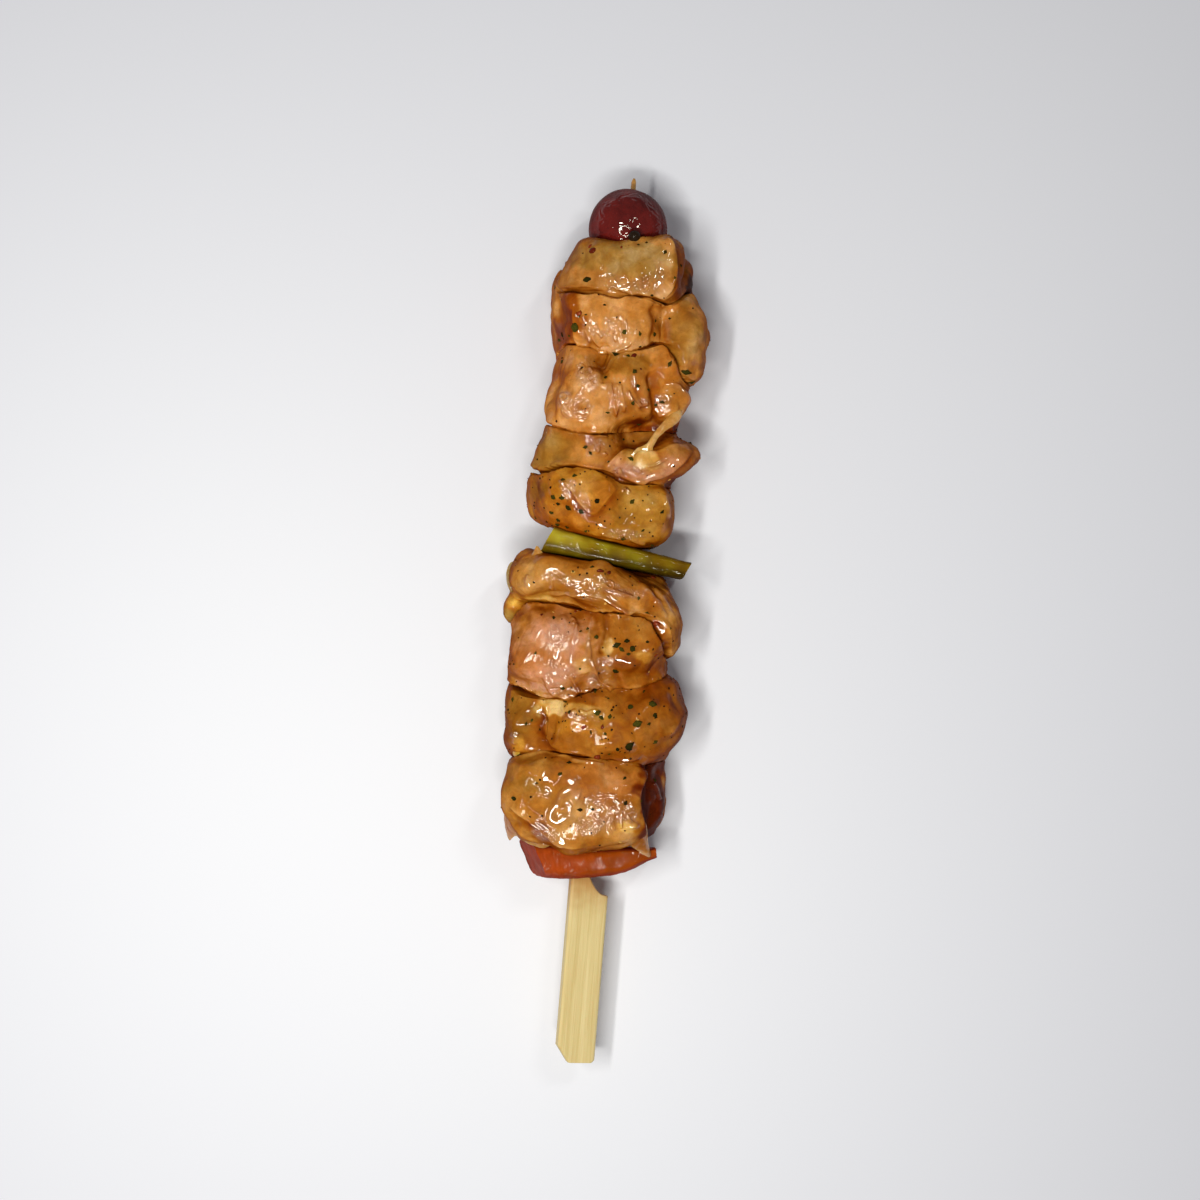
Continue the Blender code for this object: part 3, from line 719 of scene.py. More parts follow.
            [(529, 821), (540, 829), (553, 834), (568, 845)], [(536, 821), (549, 828), (559, 837)],
            [(584, 817), (590, 822), (585, 829), (592, 831)], [(592, 814), (596, 819), (600, 815)],
            [(610, 812), (612, 820), (609, 827), (612, 834)], [(614, 812), (613, 822), (615, 831)],
            [(620, 808), (620, 819), (621, 829)], [(622, 811), (628, 819), (634, 825), (622, 829)],
            [(543, 792), (546, 789), (549, 792), (546, 795), (543, 792)],
            [(600, 806), (604, 810), (600, 814)],
            [(566, 802), (571, 806), (569, 812)], [(614, 799), (619, 803), (624, 801)],
        ],
    ),
}
FLAPS = {
    "torn_skin_1": Flap(
        [(506, 806, 25), (516, 818, 28), (530, 826, 29), (544, 834, 29), (556, 842, 28)],
        [(503, 832, 20), (508, 842, 21), (516, 836, 26), (530, 846, 27), (540, 853, 28)], "tan",
        film=2.2,
    ),
    "torn_skin_2": Flap(
        [(616, 836, 29), (632, 832, 29), (643, 820, 26)],
        [(634, 849, 27), (650, 857, 23), (648, 836, 23)], "tan", film=2.3,
    ),
    "torn_skin_3": Flap(
        [(522, 568, 24), (517, 578, 25), (514, 592, 24)],
        [(509, 557, 23), (506, 575, 24), (508, 592, 22)], "olive", film=1.7,
    ),
    "torn_skin_4": Flap(
        [(526, 562, 25), (538, 561, 27), (550, 562, 27)],
        [(532, 553, 28), (537, 546, 29), (543, 552, 29)], "tan", film=1.9,
    ),
    "torn_skin_5": Flap(
        [(508, 734, 22), (516, 736, 25), (524, 740, 26)],
        [(510, 753, 22), (517, 757, 25), (526, 746, 27)], "fat", film=2.0,
    ),
}

# The tendon from the third piece down to the fourth: pixels and heights, then half widths.
STRAND_PATH = [
    (679, 409, 25.0), (677, 415, 27.0), (671, 421, 28.4), (663, 428, 29.2), (656, 436, 30.2),
    (650, 445, 30.8), (645, 453, 30.6), (640, 461, 29.9),
]
STRAND_WIDTHS = (0.9, 1.5, 1.5, 1.2, 0.9, 1.0, 2.6, 3.2)
STRAND_THICKNESSES = (1.0, 1.0, 0.9, 0.7, 0.6, 0.5, 0.4, 0.2)

# Herbs that stand out: pixel, length in millimetres and turn in degrees on the photograph.
HERB_PLACES = [
    (587, 279, 2.2, 5), (665, 252, 1.1, 60), (638, 245, 0.7, 0), (647, 243, 0.8, 0),
    (675, 278, 0.9, 90),
    (681, 266, 0.9, 90), (652, 295, 0.8, 0), (575, 327, 2.8, 90), (604, 305, 0.9, 0),
    (586, 315, 0.7, 0),
    (569, 336, 0.9, 0), (669, 318, 0.7, 0), (655, 321, 0.8, 60), (654, 334, 1.2, 90),
    (624, 332, 1.6, 45),
    (686, 372, 2.4, -15), (692, 382, 2.0, 20), (616, 353, 1.8, 0), (559, 340, 1.2, 0),
    (562, 362, 1.2, 0),
    (670, 364, 1.6, 60), (582, 368, 1.2, 0), (638, 386, 1.3, 0), (633, 403, 1.5, 70),
    (656, 405, 1.0, 0),
    (663, 403, 1.4, 0), (639, 424, 1.6, -60), (590, 453, 1.0, -45), (631, 459, 1.6, -30),
    (608, 462, 0.8, 0), (690, 443, 1.2, -30), (553, 497, 1.5, -30), (562, 498, 1.4, 0),
    (558, 504, 1.1, 0),
    (568, 508, 1.8, -40), (551, 512, 1.5, 0), (581, 512, 1.4, -40), (597, 501, 1.6, 30),
    (632, 502, 1.5, 50), (558, 520, 1.2, 0), (567, 527, 1.2, 0), (643, 530, 0.9, 45),
    (563, 480, 1.2, 10),
    (592, 567, 1.1, 0), (639, 598, 1.0, 80), (647, 613, 1.0, -20), (573, 572, 0.8, 0),
    (588, 629, 1.0, 0),
    (617, 645, 2.0, 20), (622, 649, 1.6, -40), (627, 641, 1.8, 0), (633, 649, 1.8, 60),
    (629, 654, 1.2, 0),
    (563, 688, 1.2, 0), (616, 671, 2.0, -40), (514, 664, 0.7, 0), (647, 642, 0.9, 0),
    (566, 701, 1.8, 0),
    (597, 713, 2.2, 30), (601, 718, 1.6, -20), (610, 717, 1.3, 80), (638, 724, 2.6, 20),
    (629, 746, 2.6, 40), (655, 742, 1.5, 30), (649, 724, 1.2, 15), (656, 717, 1.0, 60),
    (652, 704, 2.2, 0), (630, 707, 1.6, 0), (513, 699, 1.3, 80), (525, 724, 1.1, 70),
    (609, 754, 0.9, 0),
    (605, 734, 0.9, 0), (569, 763, 1.2, 0), (514, 798, 1.6, -20), (580, 810, 1.4, 0),
    (593, 809, 1.1, 0),
    (625, 778, 1.2, 45), (626, 803, 1.2, 60), (537, 783, 0.9, 0), (655, 780, 1.2, 60),
]
# Flakes of chilli that stand out, in the same terms.
CHILLI_PLACES = [
    (592, 250, 2.4, 20), (579, 314, 1.8, 60), (634, 355, 1.8, 30), (600, 571, 2.2, 0),
    (609, 573, 1.6, 40), (653, 577, 2.0, 10), (655, 624, 2.4, 0), (584, 727, 1.9, 30),
    (602, 727, 1.4, 70), (597, 757, 2.2, 10), (656, 655, 1.1, 0), (590, 246, 1.4, 80),
]

# How many small flakes, specks and seeds lie between them, and how long each may be.
HERB_LENGTHS = (0.7, 1.7)
SPECK_LENGTHS = (0.25, 0.8)
CHILLI_LENGTHS = (0.7, 1.4)
SEED_LENGTHS = (0.7, 1.3)
LEAST_CLEARANCE = 0.6
LEAST_HEIGHT = 3.0

# Flaps, strips, strand and peppercorn: how finely they are sampled, and the waves in them.
FLAP_STATIONS = 48
FLAP_AROUND = 28
FLAP_BULGE = 0.5
FLAP_CRUMPLE = 0.25
FLAP_CRUMPLE_SIZE = 2.4
FLAP_SEEDS = (121, 122, 123)
FLAP_FILM = Waves(0.4, 3.0, 124)
FLAP_GLOSS = 0.5
STRIP_STATIONS = 220
STRIP_AROUND = 160
CAP_RINGS = 9
CAP_BULGE = 0.4
STRAND_STATIONS = 80
STRAND_AROUND = 40
STRAND_CRUMPLE = 0.3
STRAND_CRUMPLE_SIZE = 3.0
STRAND_SEEDS = (95, 96, 97)
STRAND_LEAST_FILM = 1.0
STRAND_FILM = Waves(1.2, 2.5, 98, 2)
STRAND_WET = 0.3
STRAND_GLOSS = 0.4
PEPPERCORN_GRID = (48, 64)
PEPPERCORN_WRINKLE = Waves(1.0, 0.35, 111, 2)
PEPPERCORN_WRINKLE_DEPTH = 0.16
PEPPERCORN_HUE = 0.4
LEAF_STATIONS = 7
LEAF_AROUND = 6
GRAIN_AROUND = 8
GRAIN_ROWS = ((0.7, 0.65), (1.0, 0.0), (0.7, -0.65))
SKEWER_AROUND = 120
BEVEL_RINGS = 40
BEVEL_STRETCH = 6.0
HANDLE_RINGS = 70
SHAFT_RINGS = 60
TIP_RINGS = 80
FIBRE_GROOVE = 0.035
FIBRE_WAVES = Waves(1.0, 0.55, 91, 2)
SOAKED_LEVELS = (-86, -70)
SOAKED_SHARE = 0.85
SOAKED_EDGE = Waves(3.0, 2.0, 92)
DIMPLE_DEPTH = 1.1
DIMPLE_WIDTH = 3.2
GRAPE_SWELL = Waves(0.25, 9.0, 61, 2)
GREEN_SWELL = Waves(0.25, 5.0, 71, 2)
GREEN_STREAKS = Waves(0.1, 1.2, 72)
GREEN_TONES = Waves(0.35, 3.5, 73, 3)
GREEN_SAUCE = Waves(1.6, 6.0, 74, 3)
RED_STREAKS = Waves(1.0, 1.3, 81, 2)
RED_STREAK_DEPTH = 0.28
RED_STREAK_TONE = 0.25
RED_SWELL = Waves(0.3, 6.0, 82, 2)
RED_TONES = Waves(0.3, 4.0, 83, 3)
RED_DIMPLES = Waves(0.16, 1.8, 84, 2)
CUT_PATCHES = Waves(1.0, 4.0, 57, 3)
SMOOTH_STEEP_GLOSS = 0.1

# The stage: each light's place, its size in metres, its turn in degrees and its watts.
LIGHTS = {
    "tube_across": ((-0.05, -0.17, 0.60), (0.24, 0.04), 0, 2.1),
    "tube_along": ((-0.20, -0.02, 0.60), (0.04, 0.26), 0, 1.7),
    "tube_far": ((0.20, 0.26, 0.60), (0.16, 0.03), 45, 0.5),
}
LAMP_COLOUR = (1.0, 0.99, 0.84)
ROOM_LIGHT = 0.10
FLOOR_SIZE = 4.0


def linear(red, green, blue):
    """The scene's linear colour of one given as on a screen, from 0 to 255."""
    share = np.array([red, green, blue]) / 255
    return tuple(np.where(share <= 0.04045, share / 12.92, ((share + 0.055) / 1.055) ** 2.4))


COLOURS = {
    "flesh": linear(212, 158, 108),
    "tan": linear(214, 162, 106),
    "peach": linear(228, 166, 108),
    "pink": linear(212, 150, 120),
    "olive": linear(178, 152, 98),
    "orange": linear(222, 152, 84),
    "gold": linear(226, 172, 88),
    "fat": linear(248, 200, 108),
    "cream": linear(240, 202, 142),
    "tendon": linear(242, 200, 156),
    "dark_purple_spot": linear(70, 26, 28),
    "chilli": linear(196, 66, 26),
    "meat_grain": linear(104, 48, 8),
    "grape_dark": linear(78, 12, 12),
    "grape_pale": linear(118, 28, 24),
    "green_light": linear(176, 160, 44),
    "green_olive": linear(140, 126, 22),
    "green_deep": linear(84, 78, 8),
    "green_speck": linear(170, 152, 50),
    "red_flesh": linear(160, 64, 16),
    "red_orange": linear(150, 64, 5),
    "red_skin": linear(146, 50, 26),
    "red_speck": linear(190, 88, 26),
    "bamboo_dark": linear(208, 184, 126),
    "bamboo_pale": linear(228, 208, 158),
    "bamboo_line": linear(186, 148, 78),
    "bamboo_soaked": linear(176, 118, 44),
    "floor": linear(228, 229, 248),
    "herb_dark": linear(28, 24, 6),
    "herb_pale": linear(76, 70, 20),
    "ground_dark": linear(20, 11, 4),
    "ground_pale": linear(62, 34, 12),
    "chilli_dark": linear(84, 20, 8),
    "chilli_pale": linear(150, 60, 24),
    "seed_dark": linear(190, 130, 50),
    "seed_pale": linear(214, 164, 84),
    "husk_dark": linear(20, 13, 9),
    "husk_pale": linear(56, 38, 24),
}
# The two tones that mottle the meat, as shares of its colour.
MOTTLE = ((0.78, 0.73, 0.66), (1.14, 1.18, 1.22))

# How strongly a millimetre of marinade takes red, green and blue away.
MARINADE_TAKES = (0.29, 0.55, 1.34)


def gradient_noise(points, seed):
    """Perlin noise: a seeded slope at each corner of a unit cell, blended across the cell."""
    cell = np.floor(points).astype(np.int64)
    share = points - cell
    blend = share**3 * (share * (share * 6 - 15) + 10)
    draw = np.random.default_rng(seed)
    order = draw.permutation(256)
    slopes = draw.normal(size=(256, 3))
    slopes /= np.linalg.norm(slopes, axis=1, keepdims=True)
    total = np.zeros(points.shape[:-1])
    for corner in itertools.product((0, 1), repeat=3):
        key = np.zeros(points.shape[:-1], np.int64)
        for axis in range(3):
            key = order[(key + cell[..., axis] + corner[axis]) & 255]
        rise = (slopes[key] * (share - np.array(corner))).sum(-1)
        total += rise * np.prod(np.where(np.array(corner) == 1, blend, 1 - blend), -1)
    return total


def noise(points, size, seed, layers=1):
    """Layers of gradient noise, each half as large and half as strong as the one before."""
    total = 0.0
    for layer in range(layers):
        places = points * 2**layer / size + LAYER_SHIFT * layer
        total = total + gradient_noise(places, seed + layer) / 2**layer
    return total


def noises(points, size, seeds):
    """A vector of noises, one for each seed."""
    return np.stack([noise(points, size, seed) for seed in seeds], -1)


def turned(first, second, degrees):
    """The two parts of a vector along axes that are turned by an angle."""
    cosine, sine = math.cos(math.radians(degrees)), math.sin(math.radians(degrees))
    return first * cosine + second * sine, second * cosine - first * sine


def smooth_step(low, high, value):
    """Rises from 0 at low to 1 at high along 3 t^2 - 2 t^3."""
    share = np.clip((value - low) / (high - low), 0, 1)
    return share * share * (3 - 2 * share)


def lobe_distance(points, lobe):
    """How far points lie outside a lobe, along the line to its middle: |q| (1 - 1 / s)."""
    away = points - np.array(lobe.at)
    local = np.stack([*turned(away[..., 0], away[..., 1], lobe.yaw), away[..., 2]], -1)
    local[..., 1] -= lobe.bow * local[..., 0] ** 2
    share = (np.abs(local / np.array(lobe.half)) ** lobe.square).sum(-1) ** (1 / lobe.square)
    return np.linalg.norm(local, axis=-1) * (1 - 1 / np.maximum(share, 1e-6))


def swell(points):
    """How far the meat stands out at a place: the mean of a few crossing waves."""
    draw = np.random.default_rng(SWELL_SEED)
    total = 0.0
    for _ in range(SWELL_WAVES):
        heading = draw.normal(size=3)
        heading /= np.linalg.norm(heading)
        turns = points @ heading / draw.uniform(*SWELL_LENGTHS) + draw.uniform()
        total = total + np.sin(2 * math.pi * turns)
    return SWELL_DEPTH * total / math.sqrt(SWELL_WAVES)


def lump_distance(points, lobes):
    """The lobes run together: a soft minimum of their distances, and swells on the meat."""
    each = np.stack([lobe_distance(points, lobe) for lobe in lobes])
    joined = -FOLD_SOFTNESS * np.log(np.exp(-each / FOLD_SOFTNESS).sum(0))
    return joined if lobes is GRAPE else joined - swell(points)


def seam_nearness(points, lobes):
    """1 where two lobes meet and 0 away from there: the gap between the two nearest lobes."""
    each = np.sort(np.stack([lobe_distance(points, lobe) for lobe in lobes]), axis=0)
    return np.exp(-(each[1] - each[0]) / SEAM_WIDTH)


def strip_distance(points, strip):
    """How far points lie outside a strip: the largest of the distances past its six sides."""
    x, y, z = points[..., 0], points[..., 1], points[..., 2]
    high = strip.between(strip.high, x)
    across = (y - strip.middle(x) + strip.lean * (high - z)) / np.hypot(1, strip.heading(x))
    past = [
        np.abs(across) - strip.between(strip.half_thickness, x),
        z - high,
        strip.between(strip.low, x) - z,
        strip.left - strip.reach_out(strip.left, z) - x,
        x - strip.right,
    ]
    return np.max(past, axis=0)


def piece_distance(points, name):
    """How far points lie outside the piece of food of that name."""
    if name in STRIPS:
        return strip_distance(points, STRIPS[name])
    return lump_distance(points, LUMPS[name])


def solid_distance(points, name):
    """How far points lie outside a piece as it is built, pressed in by its neighbours."""
    past = [piece_distance(points, name)]
    past += [GAP - piece_distance(points, other) for other in PRESSED_BY.get(name, [])]
    return np.max(past, axis=0)


def near_pieces(name):
    """The meat that touches this meat, and the grape or pepper that does."""
    place = THREADED.index(name)
    near = [n for n in THREADED[max(place - 1, 0):place + 2] if n != name]
    return [n for n in near if n in CHICKEN], [n for n in near if n not in CHICKEN]


def fields(points, name):
    """Distances outside the piece, outside its neighbours, and outside the filled-in whole.

    The whole is a soft minimum of the meat's distances, so the film rounds off each crevice.
    """
    meat, others = near_pieces(name)
    own = solid_distance(points, name)
    each = {other: solid_distance(points, other) for other in meat}
    joined = -CREVICE_FILL * np.log(sum(np.exp(-d / CREVICE_FILL) for d in [own, *each.values()]))
    each.update({other: piece_distance(points, other) for other in others})
    return own, each, joined


def middle_of(lobes):
    """The mean of the lobes' middles, weighted by size, from which the skin is sampled."""
    weight = np.array([np.prod(lobe.half) for lobe in lobes])
    places = np.array([lobe.at for lobe in lobes])
    return (places * weight[:, None]).sum(0) / weight.sum()


def ray_grid(rings, around):
    """Unit directions on rings round Y from +Y to -Y, first and last rings at the poles."""
    along = np.linspace(0, math.pi, rings)
    turn = np.linspace(0, 2 * math.pi, around, endpoint=False)
    turn = turn - CLOSER_ON_TOP * np.sin(turn)
    along, turn = np.meshgrid(along, turn, indexing="ij")
    rays = np.stack([np.sin(along) * np.sin(turn), np.cos(along), np.sin(along) * np.cos(turn)], -1)
    rays = rays * np.array(SAMPLE_STRETCH)
    return rays / np.linalg.norm(rays, axis=-1, keepdims=True)


def outermost(start, rays, outside, wider=None):
    """The outermost place on each ray that isn't outside, by steps and then by halving.

    A wider surface round the first one, if given, takes its place in the halving.
    """
    low = np.zeros(rays.shape[:-1])
    step = REACH / (MARCH_STEPS - 1)
    for number in range(MARCH_STEPS):
        radius = np.full(low.shape, number * step)
        low = np.where(outside(start + rays * radius[..., None]) < 0, radius, low)
    high = low + step + (CREVICE_REACH if wider else 0)
    for _ in range(BISECTIONS):
        centre = (low + high) / 2
        within = (wider or outside)(start + rays * centre[..., None]) < 0
        low = np.where(within, centre, low)
        high = np.where(within, high, centre)
    return start + rays * low[..., None]


def soothed(grid, start):
    """A skin whose spikes are drawn in: distances from its middle that stand off their mean."""
    away = grid - start
    radius = np.linalg.norm(away, axis=-1)
    mean = radius
    for _ in range(SPIKE_PASSES):
        mean = (np.roll(mean, 1, 1) + 2 * mean + np.roll(mean, -1, 1)) / 4
        padded = np.concatenate([mean[:1], mean, mean[-1:]])
        mean = (padded[:-2] + 2 * mean + padded[2:]) / 4
    off = smooth_step(SPIKE_HEIGHT, 2 * SPIKE_HEIGHT, np.abs(radius - mean))
    radius = (radius + (mean - radius) * off) / np.maximum(radius, 1e-6)
    return start + away * radius[..., None]


def meat_grid(name, rings, around):
    """A piece's skin: inside the filled-in whole, nearer to it than to its neighbours."""
    others = near_pieces(name)[1]

    def outside(places):
        return np.maximum(solid_distance(places, name), -places[..., 2])

    def wider(places):
        own, each, joined = fields(places, name)
        past = [joined, -places[..., 2]]
        for other, distance in each.items():
            past.append(PEPPER_GAP - distance if other in others else own - distance)
        return np.max(past, axis=0)

    start = middle_of(CHICKEN[name])
    return soothed(outermost(start, ray_grid(rings, around), outside, wider), start)


def refine(grid):
    """Doubles a grid's rings and corners: new ones lie on the cubic through their neighbours."""
    ahead, behind, far = np.roll(grid, -1, 1), np.roll(grid, 1, 1), np.roll(grid, -2, 1)
    between = (9 * (grid + ahead) - behind - far) / 16
    wide = np.stack([grid, between], 2).reshape(grid.shape[0], -1, *grid.shape[2:])
    padded = np.concatenate([2 * wide[:1] - wide[1:2], wide, 2 * wide[-1:] - wide[-2:-1]])
    middle = (9 * (padded[1:-2] + padded[2:-1]) - padded[:-3] - padded[3:]) / 16
    tall = np.empty((2 * len(wide) - 1, *wide.shape[1:]))
    tall[0::2] = wide
    tall[1::2] = middle
    return tall


def enlarged(height):
    """How much larger a thing shows at a height than at the photograph's level."""
    return (CAMERA_HEIGHT - PHOTO_LEVEL) / (CAMERA_HEIGHT - height)


def seen(points):
    """Where points show in plan from the camera's height, at the photograph's level."""
    centre = np.array(PHOTO_MIDDLE)
    return centre + (points[..., :2] - centre) * enlarged(points[..., 2:])


def on_photo(pixels):
    """Plan places in millimetres of pixels of the photograph's 1200 by 1200 frame."""
    away = np.asarray(pixels, float) - PHOTO_PIXELS / 2
    x, down = turned(away[..., 0], away[..., 1], PHOTO_TURN)
    return np.array(PHOTO_MIDDLE) + np.stack([x, -down], -1) * PHOTO_MM_PER_PX


def smooth_path(points, count):
    """Places on the Catmull-Rom curve through the points."""
    points = np.array(points, float)
    padded = np.concatenate([points[:1], points, points[-1:]])
    share = np.linspace(0, len(points) - 1, count)
    leg = np.minimum(share.astype(int), len(points) - 2)
    t = (share - leg)[:, None]
    a, b, c, d = (padded[leg + shift] for shift in range(4))
    bend = (2 * a - 5 * b + 4 * c - d) * t**2 + (3 * b - a - 3 * c + d) * t**3
    return 0.5 * (2 * b + (c - a) * t + bend)


def path_place(plan, pixels, reach):
    """Distance in plan to a path, above zero on its left, and how near the path's middle.

    The second value falls from 1 to 0 over the last sixth at both ends. Places farther than
    reach are left at that distance.
    """
    path = smooth_path(on_photo(pixels), 6 * len(pixels))
    distance = np.full(plan.shape[:-1], float(reach))
    share = np.zeros(plan.shape[:-1])
    near = ((plan > path.min(0) - reach) & (plan < path.max(0) + reach)).all(-1)
    if not near.any():
        return distance, share
    first, leg = path[:-1], np.diff(path, axis=0)
    away = plan[near][:, None] - first
    along = np.clip((away * leg).sum(-1) / (leg**2).sum(-1), 0, 1)
    miss = away - along[..., None] * leg
    length = np.linalg.norm(miss, axis=-1)
    index = np.argmin(length, axis=1)
    pick = np.arange(len(index))
    side = leg[index, 0] * away[pick, index, 1] - leg[index, 1] * away[pick, index, 0]
    distance[near] = length[pick, index] * np.where(side > 0, 1, -1)
    total = (index + along[pick, index]) / len(leg)
    share[near] = smooth_step(0, 0.17, np.minimum(total, 1 - total))
    return distance, share


def patch_share(plan, patch, wobble):
    """1 in the middle of a patch and 0 outside its uneven ellipse."""
    away = plan - on_photo(patch.at)
    local = np.stack(turned(away[..., 0], away[..., 1], getattr(patch, "turn", 0.0)), -1)
    away = np.linalg.norm(local / np.array(patch.half), axis=-1) * wobble
    return 1 - smooth_step(*PATCH_EDGE, away)


def grid_normals(places):
    """Outward unit normals of a grid of rings: the cross product of its two slopes."""
    around = np.roll(places, -1, 1) - np.roll(places, 1, 1)
    along = np.gradient(places, axis=0)
    normals = np.cross(along, around)
    normals /= np.maximum(np.linalg.norm(normals, axis=-1, keepdims=True), 1e-9)
    for pole, inner in ((0, 1), (-1, -2)):
        mean = normals[inner].mean(0)
        normals[pole] = mean / np.linalg.norm(mean)
    return normals


def grid_shape(places):
    """Vertices, quads and triangles of a closed grid of rings whose end rings are points."""
    rings, around = places.shape[:2]
    inner = places[1:-1].reshape(-1, 3)
    vertices = np.concatenate([inner, places[0, :1], places[-1, :1]])
    ring, side = np.meshgrid(np.arange(rings - 3), np.arange(around), indexing="ij")
    after = (side + 1) % around
    quads = np.stack([
        ring * around + side, (ring + 1) * around + side,
        (ring + 1) * around + after, ring * around + after,
    ], -1).reshape(-1, 4)
    side = np.arange(around)
    after = (side + 1) % around
    first, last = len(inner), len(inner) + 1
    base = (rings - 3) * around
    triangles = np.concatenate([
        np.stack([np.full(around, first), side, after], -1),
        np.stack([np.full(around, last), base + after, base + side], -1),
    ])
    return vertices, quads, triangles


def grid_values(values):
    """A grid of numbers or of colours in the order of grid_shape's vertices."""
    tail = values.shape[2:]
    return np.concatenate([values[1:-1].reshape(-1, *tail), values[0, :1], values[-1, :1]])


def new_object(name, data):
    """An object of the scene with the given data."""
    made = bpy.data.objects.new(name, data)
    bpy.context.scene.collection.objects.link(made)
    return made


def new_piece(name, vertices, quads, triangles, material, replaced=(), values=None):
    """A smooth mesh object at the origin that rides on the kebab, with values on its vertices."""
    corners = np.concatenate([np.ravel(quads), np.ravel(triangles)]).astype(np.int32)
    starts = np.concatenate([
        np.arange(len(quads)) * 4,
        len(quads) * 4 + np.arange(len(triangles)) * 3,
    ]).astype(np.int32)
    mesh = bpy.data.meshes.new(name)
    mesh.vertices.add(len(vertices))
    mesh.vertices.foreach_set("co", (np.asarray(vertices) * MM).astype(np.float32).ravel())
    mesh.loops.add(len(corners))
    mesh.loops.foreach_set("vertex_index", corners)
    mesh.polygons.add(len(starts))
    mesh.polygons.foreach_set("loop_start", starts)
    mesh.update(calc_edges=True)
    mesh.polygons.foreach_set("use_smooth", np.ones(len(starts), bool))
    for key, value in (values or {}).items():
        if value.ndim == 2:
            layer = mesh.attributes.new(key, "FLOAT_COLOR", "POINT")
            coloured = np.concatenate([value, np.ones((len(value), 1))], 1)
            layer.data.foreach_set("color", coloured.astype(np.float32).ravel())
        else:
            layer = mesh.attributes.new(key, "FLOAT", "POINT")
            layer.data.foreach_set("value", value.astype(np.float32))
    mesh.materials.append(material)
    made = new_object(name, mesh)
    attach(made, BODY)
    if replaced:
        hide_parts(*replaced)
    return made


class Finish:
    """A material whose nodes are added one at a time, starting with its Principled shader."""

    def __init__(self, name, **sockets):
        self.material = bpy.data.materials.new(name)
        self.material.use_nodes = True
        self.nodes = self.material.node_tree.nodes
        self.links = self.material.node_tree.links
        self.shader = self.nodes["Principled BSDF"]
        self.surface(**sockets)

    def add(self, kind, settings=None, **sockets):
        """A new node, its settings set and its sockets fed."""
        made = self.nodes.new("ShaderNode" + kind)
        for key, value in (settings or {}).items():
            setattr(made, key, value)
        for key, value in sockets.items():
            self.feed(made.inputs[key.replace("_", " ")], value)
        return made

    def feed(self, socket, value):
        """Links a node's first output, or a given output, to a socket, or sets a plain value."""
        if isinstance(value, bpy.types.Node):
            self.links.new(value.outputs[0], socket)
        elif isinstance(value, bpy.types.NodeSocket):
            self.links.new(value, socket)
        else:
            socket.default_value = value

    def surface(self, **sockets):
        """Links or sets the shader's own sockets, named with underscores for their spaces."""
        for key, value in sockets.items():
            self.feed(self.shader.inputs[key.replace("_", " ")], value)

    def attribute(self, name, output="Color"):
        """A value that the mesh holds on its vertices."""
        return self.add("Attribute", {"attribute_name": name}).outputs[output]

    def place(self, scale=(1, 1, 1), turn=(0, 0, 0)):
        """Object coordinates, stretched and turned."""
        where = self.add("TexCoord").outputs["Object"]
        turn = tuple(math.radians(angle) for angle in turn)
        return self.add("Mapping", Vector=where, Scale=scale, Rotation=turn)

    def noise(self, place, size, detail=3.0, roughness=0.55, distortion=0.0):
        """Noise whose features are that many millimetres across."""
        return self.add(
            "TexNoise", Vector=place, Scale=1 / (size * MM), Detail=detail,
            Roughness=roughness, Distortion=distortion,
        )

    def between(self, value, low, high, to_low=0.0, to_high=1.0):
        """A value carried evenly from one range to another, and held at its ends."""
        return self.add("MapRange", None, Value=value, **{
            "From_Min": low, "From_Max": high, "To_Min": to_low, "To_Max": to_high,
        })

    def mix(self, share, first, second, blend="MIX"):
        """Two colours mixed by a share, or blended as named."""
        made = self.add("Mix", {"data_type": "RGBA", "blend_type": blend})
        self.feed(made.inputs[0], share)
        self.feed(made.inputs[6], first)
        self.feed(made.inputs[7], second)
        return made.outputs[2]

    def crests(self, place, size, round_off):
        """Narrow crests in closed loops: 0 less sqrt(n^2 + r^2), where noise n passes through 0."""
        wave = self.noise(place, size, 1.0, 0.4, 0.9)
        centred = self.add("Math", {"operation": "SUBTRACT"})
        self.feed(centred.inputs[0], wave)
        centred.inputs[1].default_value = 0.5
        squared = self.add("Math", {"operation": "MULTIPLY_ADD"})
        self.feed(squared.inputs[0], centred)
        self.feed(squared.inputs[1], centred)
        squared.inputs[2].default_value = round_off**2
        root = self.add("Math", {"operation": "SQRT"})
        self.feed(root.inputs[0], squared)
        return self.between(root, 0.0, 1.0, 0.0, -1.0)

    def bump(self, height, distance, strength=1.0, before=None):
        """Normals tilted by a height of up to that many millimetres, over ones from before."""
        made = self.add("Bump", Height=height, Distance=distance * MM, Strength=strength)
        if before:
            self.feed(made.inputs["Normal"], before)
        return made.outputs[0]


def solid(colour):
    """An opaque colour, as a shader's socket takes it."""
    return (*colour, 1.0)


def two_tones(name):
    """The dark and the pale colour of that name."""
    return COLOURS[name + "_dark"], COLOURS[name + "_pale"]


